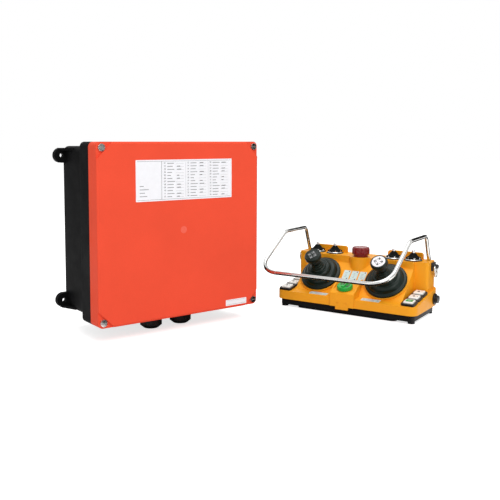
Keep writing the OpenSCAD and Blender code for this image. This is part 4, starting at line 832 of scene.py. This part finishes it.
def button_cap(side, row, home):
    """A white cap with a dot and a pointer, or with a green field at the front on the right."""
    body = f"{side}_{row}_button_body"
    cap = piece(f"{side}_{row}_cap", soft_slab(**CAP), "cap_white", body, home, BUTTON_ANGLE)
    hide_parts(f"{side}_{row}_button")
    if row == "front" and side == "right":
        place = home @ shift(0, FIELD_Y)
        piece(f"{side}_{row}_field", soft_slab(**GREEN_FIELD), "mark_green", body, place)
        piece(f"{side}_{row}_bar", soft_slab(**GREEN_BAR), "mark_pale", body, place)
    else:
        marks = [(capped(RING_MARK, DOT_AROUND), shift(*RING_PLACE)),
                 (flat_shape(POINTER, POINTER_LOW, POINTER_THICK), shift(*POINTER_PLACE))]
        piece(f"{side}_{row}_mark", joined(marks), "mark_dark", body, home)


for make in (button_frame, button_cap):
    for side, sx in SIDES.items():
        for row, y in ROWS.items():
            make(side, row, flange(sx * ROW_X, y))

# Labels on the transmitter: bars for words, arrows and pale fields, in millimetres
PANEL_LABELS, PANEL_LABEL_PITCH, PANEL_LABEL_Y = (-1, 0, 1), 15.5, -7.0
PRINT_LOW, PRINT_THICK, ARROW_PRINT_THICK = 0.38, 0.08, 0.1
WORD_WIDTHS, WORD_HEIGHT = (4.2, 3.0, 5.2, 3.6), 0.6
WORD_X, WORD_START, WORD_PITCH = -0.8, -5.0, 3.2
LABEL_ARROW = [(-1.5, -1.1), (1.5, -1.1), (0, 1.5)]
LABEL_ARROW_X, LABEL_ARROW_ENDS = 3.4, (-8.6, 8.4)
FRONT_LABEL_X, FRONT_LABEL_Y = 50, -50
FIELD = [(-8, -4.2), (8, -4.2), (5, 3.9), (-5, 3.9)]
LINE_ENDS, LINE_HEIGHT = (-13.4, 12.8), 0.9
LINE_ROWS = {-2.4: 4.6, 1.6: 3.4}


def transmitter_labels():
    """Grey bars for words and lines, dark arrows, and two pale fields."""
    marks, pale, arrows = [], [], []
    for i in PANEL_LABELS:
        local = PLACE.inverted() @ panel(i * PANEL_LABEL_PITCH, PANEL_LABEL_Y)
        for k in range(len(WORD_WIDTHS)):
            word = centred_bar(WORD_WIDTHS[(k + i) % len(WORD_WIDTHS)], WORD_HEIGHT)
            spot = local @ shift(WORD_X, WORD_START + WORD_PITCH * k)
            marks.append((flat_shape(word, PRINT_LOW, PRINT_THICK), spot))
        for y in LABEL_ARROW_ENDS:
            arrow = flat_shape(LABEL_ARROW, PRINT_LOW, ARROW_PRINT_THICK)
            arrows.append((arrow, local @ shift(LABEL_ARROW_X, y)))
    for sx in SIDES.values():
        local = PLACE.inverted() @ flange(sx * FRONT_LABEL_X, FRONT_LABEL_Y)
        pale.append((flat_shape(FIELD, PRINT_LOW, PRINT_THICK), local))
        for x in LINE_ENDS:
            for y, w in LINE_ROWS.items():
                line = flat_shape(centred_bar(w, LINE_HEIGHT), PRINT_LOW, PRINT_THICK)
                marks.append((line, local @ shift(x, y)))
    piece("label_marks", joined(marks), "mark_grey", "transmitter", PLACE)
    piece("label_arrows", joined(arrows), "mark_dark", "transmitter", PLACE)
    piece("label_fields", joined(pale), "mark_pale", "transmitter", PLACE)


transmitter_labels()

# Label on the lid: rules, grey bars for words and plain numbers, in millimetres as seen from the front
FACE = 138.4
PRINT_SINK, PRINT_LIFT = 0.02, 0.02
LABEL_LEFT, LABEL_RIGHT, LABEL_LOW, LABEL_HIGH = -83.5, 91.5, 50.5, 109.5
EDGE_RULE, EDGE_DROP = 0.3, 0.4
HEADER_END, HEADER_HALF = -40.5, 0.25
GROUPS = (-36.5, 6.5, 49.5)
GROUP_RULE_FROM, GROUP_RULE_TO, GROUP_RULE_INSET = 2.9, 2.6, 2
LINES, LINE_PITCH, FIRST_LINE = 12, 4.75, 4.1
WORDS = (12.0, 8.5, 14.0, 10.0, 6.5, 11.5, 13.0, 9.0)
WORD_STEP, GROUP_STEP = 3, 5
WORD_FROM, WORD_LOW, WORD_HIGH = 6.2, 0.2, 1.3
RULE_FROM, RULE_TO, RULE_LOW, RULE_HIGH = 22.0, 36.5, -0.1, 0.15
ENTRY_FROM, ENTRY_LOW, ENTRY_SHARE = 24.0, 0.4, 0.6
HEADER_WORDS = (13.0, 9.0, 16.0, 7.0)
HEADER_INSET, HEADER_RISE, HEADER_PITCH, HEADER_HEIGHT = 4, 5, 5.2, 1.1
THICK, MIDDLE_THICK, THIN = 0.08, 0.06, 0.05
PLATE_LEFT, PLATE_RIGHT, PLATE_RULE = 84.6, 123.4, 0.3
PLATE_LINES = (-133.9, -127.1)
NUMBER_SIZE, NUMBER_THICK, FIRST_NUMBER = 3.6, 0.00006, 4.0
GATE = [(CORE, 138.25), (1.3, 138.25), (1.6, 138.03), (4.6, 138.03), (4.9, 138.15), (5.5, 138.15),
        (5.8, 138.0)]
GATE_ROUND, GATE_AROUND, GATE_ANGLE = 0.1, 64, 60.0


def bar_at(x0, y0, x1, y1, thick=THICK):
    """A printed bar on the label, ready to be joined."""
    return flat_shape(bar_outline(x0, y0, x1, y1), FACE - PRINT_SINK, thick), None


def label_rules():
    """The dark rules, and the dark entries beside the words."""
    rules = []
    for y0 in (LABEL_LOW - EDGE_DROP, LABEL_HIGH):
        rules.append(bar_at(LABEL_LEFT, y0, LABEL_RIGHT, y0 + EDGE_RULE))
    rules.append(bar_at(HEADER_END - HEADER_HALF, LABEL_LOW, HEADER_END + HEADER_HALF, LABEL_HIGH))
    for c, x in enumerate(GROUPS):
        for k in range(LINES):
            if (k + c) % 3:
                y = LABEL_HIGH - FIRST_LINE - LINE_PITCH * k
                end = x + ENTRY_FROM + word_width(c, k) * ENTRY_SHARE
                rules.append(bar_at(x + ENTRY_FROM, y + ENTRY_LOW, end, y + WORD_HIGH, THIN))
    return rules


def word_width(column, line):
    """The width of the bar that stands for a word."""
    return WORDS[(line * WORD_STEP + column * GROUP_STEP) % len(WORDS)]


def label_words():
    """The grey bars that stand for words, and the fine rules beside them."""
    words = []
    for x in GROUPS[1:]:
        words.append(bar_at(x - GROUP_RULE_FROM, LABEL_LOW + GROUP_RULE_INSET, x - GROUP_RULE_TO,
                            LABEL_HIGH - GROUP_RULE_INSET, THIN))
    for c, x in enumerate(GROUPS):
        for k in range(LINES):
            y = LABEL_HIGH - FIRST_LINE - LINE_PITCH * k
            start = x + WORD_FROM
            words.append(bar_at(start, y + WORD_LOW, start + word_width(c, k), y + WORD_HIGH, MIDDLE_THICK))
            words.append(bar_at(x + RULE_FROM, y + RULE_LOW, x + RULE_TO, y + RULE_HIGH, THIN))
    for k, w in enumerate(HEADER_WORDS):
        start = LABEL_LEFT + HEADER_INSET
        y = LABEL_LOW + HEADER_RISE + HEADER_PITCH * k
        words.append(bar_at(start, y, start + w, y + HEADER_HEIGHT, THIN))
    return words


def numbers(name, text, x, y, body):
    """A column of plain numbers on the lid."""
    curve = bpy.data.curves.new(name, "FONT")
    curve.body = text
    curve.size = NUMBER_SIZE * MM
    curve.space_line = LINE_PITCH / NUMBER_SIZE
    curve.resolution_u = 2
    made = linked(name, curve)
    made.matrix_world = LID_FRONT @ shift(x, y, FACE + PRINT_LIFT)
    bpy.context.view_layer.update()
    mesh = bpy.data.meshes.new_from_object(made.evaluated_get(bpy.context.evaluated_depsgraph_get()))
    mesh.transform(made.matrix_world)
    bpy.data.objects.remove(made)
    bm = bmesh.new()
    bm.from_mesh(mesh)
    geom = bmesh.ops.extrude_face_region(bm, geom=bm.faces[:])
    out = (LID_FRONT.to_3x3() @ Vector((0, 0, 1))).normalized() * NUMBER_THICK
    bmesh.ops.translate(bm, verts=[v for v in geom["geom"] if isinstance(v, bmesh.types.BMVert)], vec=out)
    bmesh.ops.recalc_face_normals(bm, faces=bm.faces)
    bm.to_mesh(mesh)
    bm.free()
    mesh.materials.append(M["mark_dark"])
    obj = linked(name, mesh)
    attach(obj, body)


piece("lid_label_shade", joined(label_words()), "mark_grey", "lid", LID_FRONT)
piece("lid_label_grid", joined(label_rules()), "mark_dark", "lid", LID_FRONT)
plate_lines = [bar_at(PLATE_LEFT, y, PLATE_RIGHT, y + PLATE_RULE) for y in PLATE_LINES]
piece("rating_lines", joined(plate_lines), "mark_grey", "lid", LID_FRONT)
# The gate mark in a lighter orange than the lid: a painted highlight
piece("lid_gate_mark", capped(fillet(GATE, GATE_ROUND, 2), GATE_AROUND), "lid_highlight_orange", "lid",
      LID_FRONT, GATE_ANGLE)
for c, x in enumerate(GROUPS):
    column = "\n".join(f"{c * LINES + k + 1:02d}" for k in range(LINES))
    numbers(f"lid_numbers_{c}", column, x, LABEL_HIGH - FIRST_NUMBER, "lid")

# Floor, in metres
FLOOR_HALF, FLOOR_DROP = 9, 0.0004
FLOOR_COLOR = (0.86, 0.86, 0.86, 1)
FLOOR_GLOW = 0.7
WHITE = (1, 1, 1, 1)


def flat_mesh(name, half_x, half_y, z=0.0):
    """A flat rectangle round the origin."""
    mesh = bpy.data.meshes.new(name)
    corners = [(-half_x, -half_y, z), (half_x, -half_y, z), (half_x, half_y, z), (-half_x, half_y, z)]
    mesh.from_pydata(corners, [], [(0, 1, 2, 3)])
    return mesh


def floor_look():
    """White where the camera or a reflection sees it, plain where it lights the object."""
    s = Shader("floor_white")
    s.fix({"Base Color": FLOOR_COLOR, "Roughness": 0.9, "Specular IOR Level": 0.0})
    path = s.add("ShaderNodeLightPath")
    glow = s.add("ShaderNodeEmission")
    glow.inputs["Color"].default_value = WHITE
    glow.inputs["Strength"].default_value = FLOOR_GLOW
    plus = s.add("ShaderNodeAddShader")
    pick = s.add("ShaderNodeMixShader")
    s.link(s.bsdf.outputs[0], plus.inputs[0])
    s.link(glow.outputs[0], plus.inputs[1])
    s.link(s.either(path.outputs["Is Camera Ray"], path.outputs["Is Glossy Ray"]), pick.inputs[0])
    s.link(s.bsdf.outputs[0], pick.inputs[1])
    s.link(plus.outputs[0], pick.inputs[2])
    s.link(pick.outputs[0], s.tree.nodes["Material Output"].inputs["Surface"])
    return s.mat


floor_mesh = flat_mesh("floor", FLOOR_HALF, FLOOR_HALF, FLOOR - FLOOR_DROP)
floor_mesh.materials.append(floor_look())
floor = linked("floor", floor_mesh)

# World: white to the camera, glass and reflections, and half as bright as a light
WORLD_LIGHT = 0.5


def world():
    made = bpy.data.worlds.new("world")
    bpy.context.scene.world = made
    made.use_nodes = True
    w = Tree(made.node_tree)
    back = w.tree.nodes["Background"]
    back.inputs["Color"].default_value = WHITE
    back.inputs["Strength"].default_value = WORLD_LIGHT
    white = w.add("ShaderNodeBackground")
    white.inputs["Color"].default_value = WHITE
    white.inputs["Strength"].default_value = 1.0
    path = w.add("ShaderNodeLightPath")
    pick = w.add("ShaderNodeMixShader")
    seen = w.either(path.outputs["Is Camera Ray"], path.outputs["Is Transmission Ray"])
    w.link(w.either(seen, path.outputs["Is Glossy Ray"]), pick.inputs[0])
    w.link(back.outputs[0], pick.inputs[1])
    w.link(white.outputs[0], pick.inputs[2])
    w.link(pick.outputs[0], w.tree.nodes["World Output"].inputs["Surface"])


world()

# Dark cards as (place, width, height), which face the middle, and lamps as (place, size, watts)
MIDDLE = (0.15, -0.15, -0.02)
CARDS = {
    "card_right": ((3.0, 0.5, 0.75), 2.4, 1.5),
    "card_front": ((1.5, -2.4, 0.1), 1.1, 0.8),
    "card_back": ((-1.9, 2.3, 0.2), 1.8, 1.6),
    "card_left": ((-2.6, 0.5, 0.02), 2.4, 0.2),
    "card_near": ((-2.5, -1.0, 0.0), 0.8, 1.2),
}
# Cards that lie on the floor as (x, y, width, height)
CARD_LIFT = 0.0005
LOW_CARDS = {
    "card_low": (0.12, -0.12, 0.42, 0.9),
    "card_low_right": (0.85, -0.15, 0.6, 0.9),
}
LAMPS = {
    "key": ((-0.6, -1.9, 1.7), 1.3, 26.0),
    "top": ((0.5, -0.1, 2.2), 1.6, 21.0),
    "side": ((-2.2, -0.6, 0.6), 1.2, 3.5),
}


def card_look():
    """Matt black, a little uneven."""
    s = Shader("card_black")
    s.feed("Base Color", s.mix(s.noise(scale=3.0), (0.01, 0.01, 0.01, 1), (0.02, 0.02, 0.02, 1)))
    s.fix({"Roughness": 1.0, "Specular IOR Level": 0.0})
    return s.mat


def dark_card(name, look, centre, width, height, aim):
    """A black sheet that only reflections see, so that the chrome has dark streaks."""
    mesh = flat_mesh(name, width / 2, height / 2)
    mesh.materials.append(look)
    card = linked(name, mesh)
    card.location = centre
    card.rotation_euler = aim.to_track_quat("Z", "Y").to_euler()
    card.visible_camera = False
    card.visible_diffuse = False
    card.visible_shadow = False
    card.visible_transmission = False


def lamp(name, location, size, watts):
    """A round lamp that faces the middle."""
    data = bpy.data.lights.new(name, "AREA")
    data.shape = "DISK"
    data.size = size
    data.energy = watts
    obj = linked(name, data)
    obj.location = location
    obj.rotation_euler = (Vector(MIDDLE) - Vector(location)).to_track_quat("-Z", "Y").to_euler()


card_black = card_look()
for name, (centre, width, height) in CARDS.items():
    dark_card(name, card_black, centre, width, height, Vector(MIDDLE) - Vector(centre))
for name, (x, y, width, height) in LOW_CARDS.items():
    dark_card(name, card_black, (x, y, FLOOR + CARD_LIFT), width, height, Vector((0, 0, 1)))
for name, (location, size, watts) in LAMPS.items():
    lamp(name, location, size, watts)
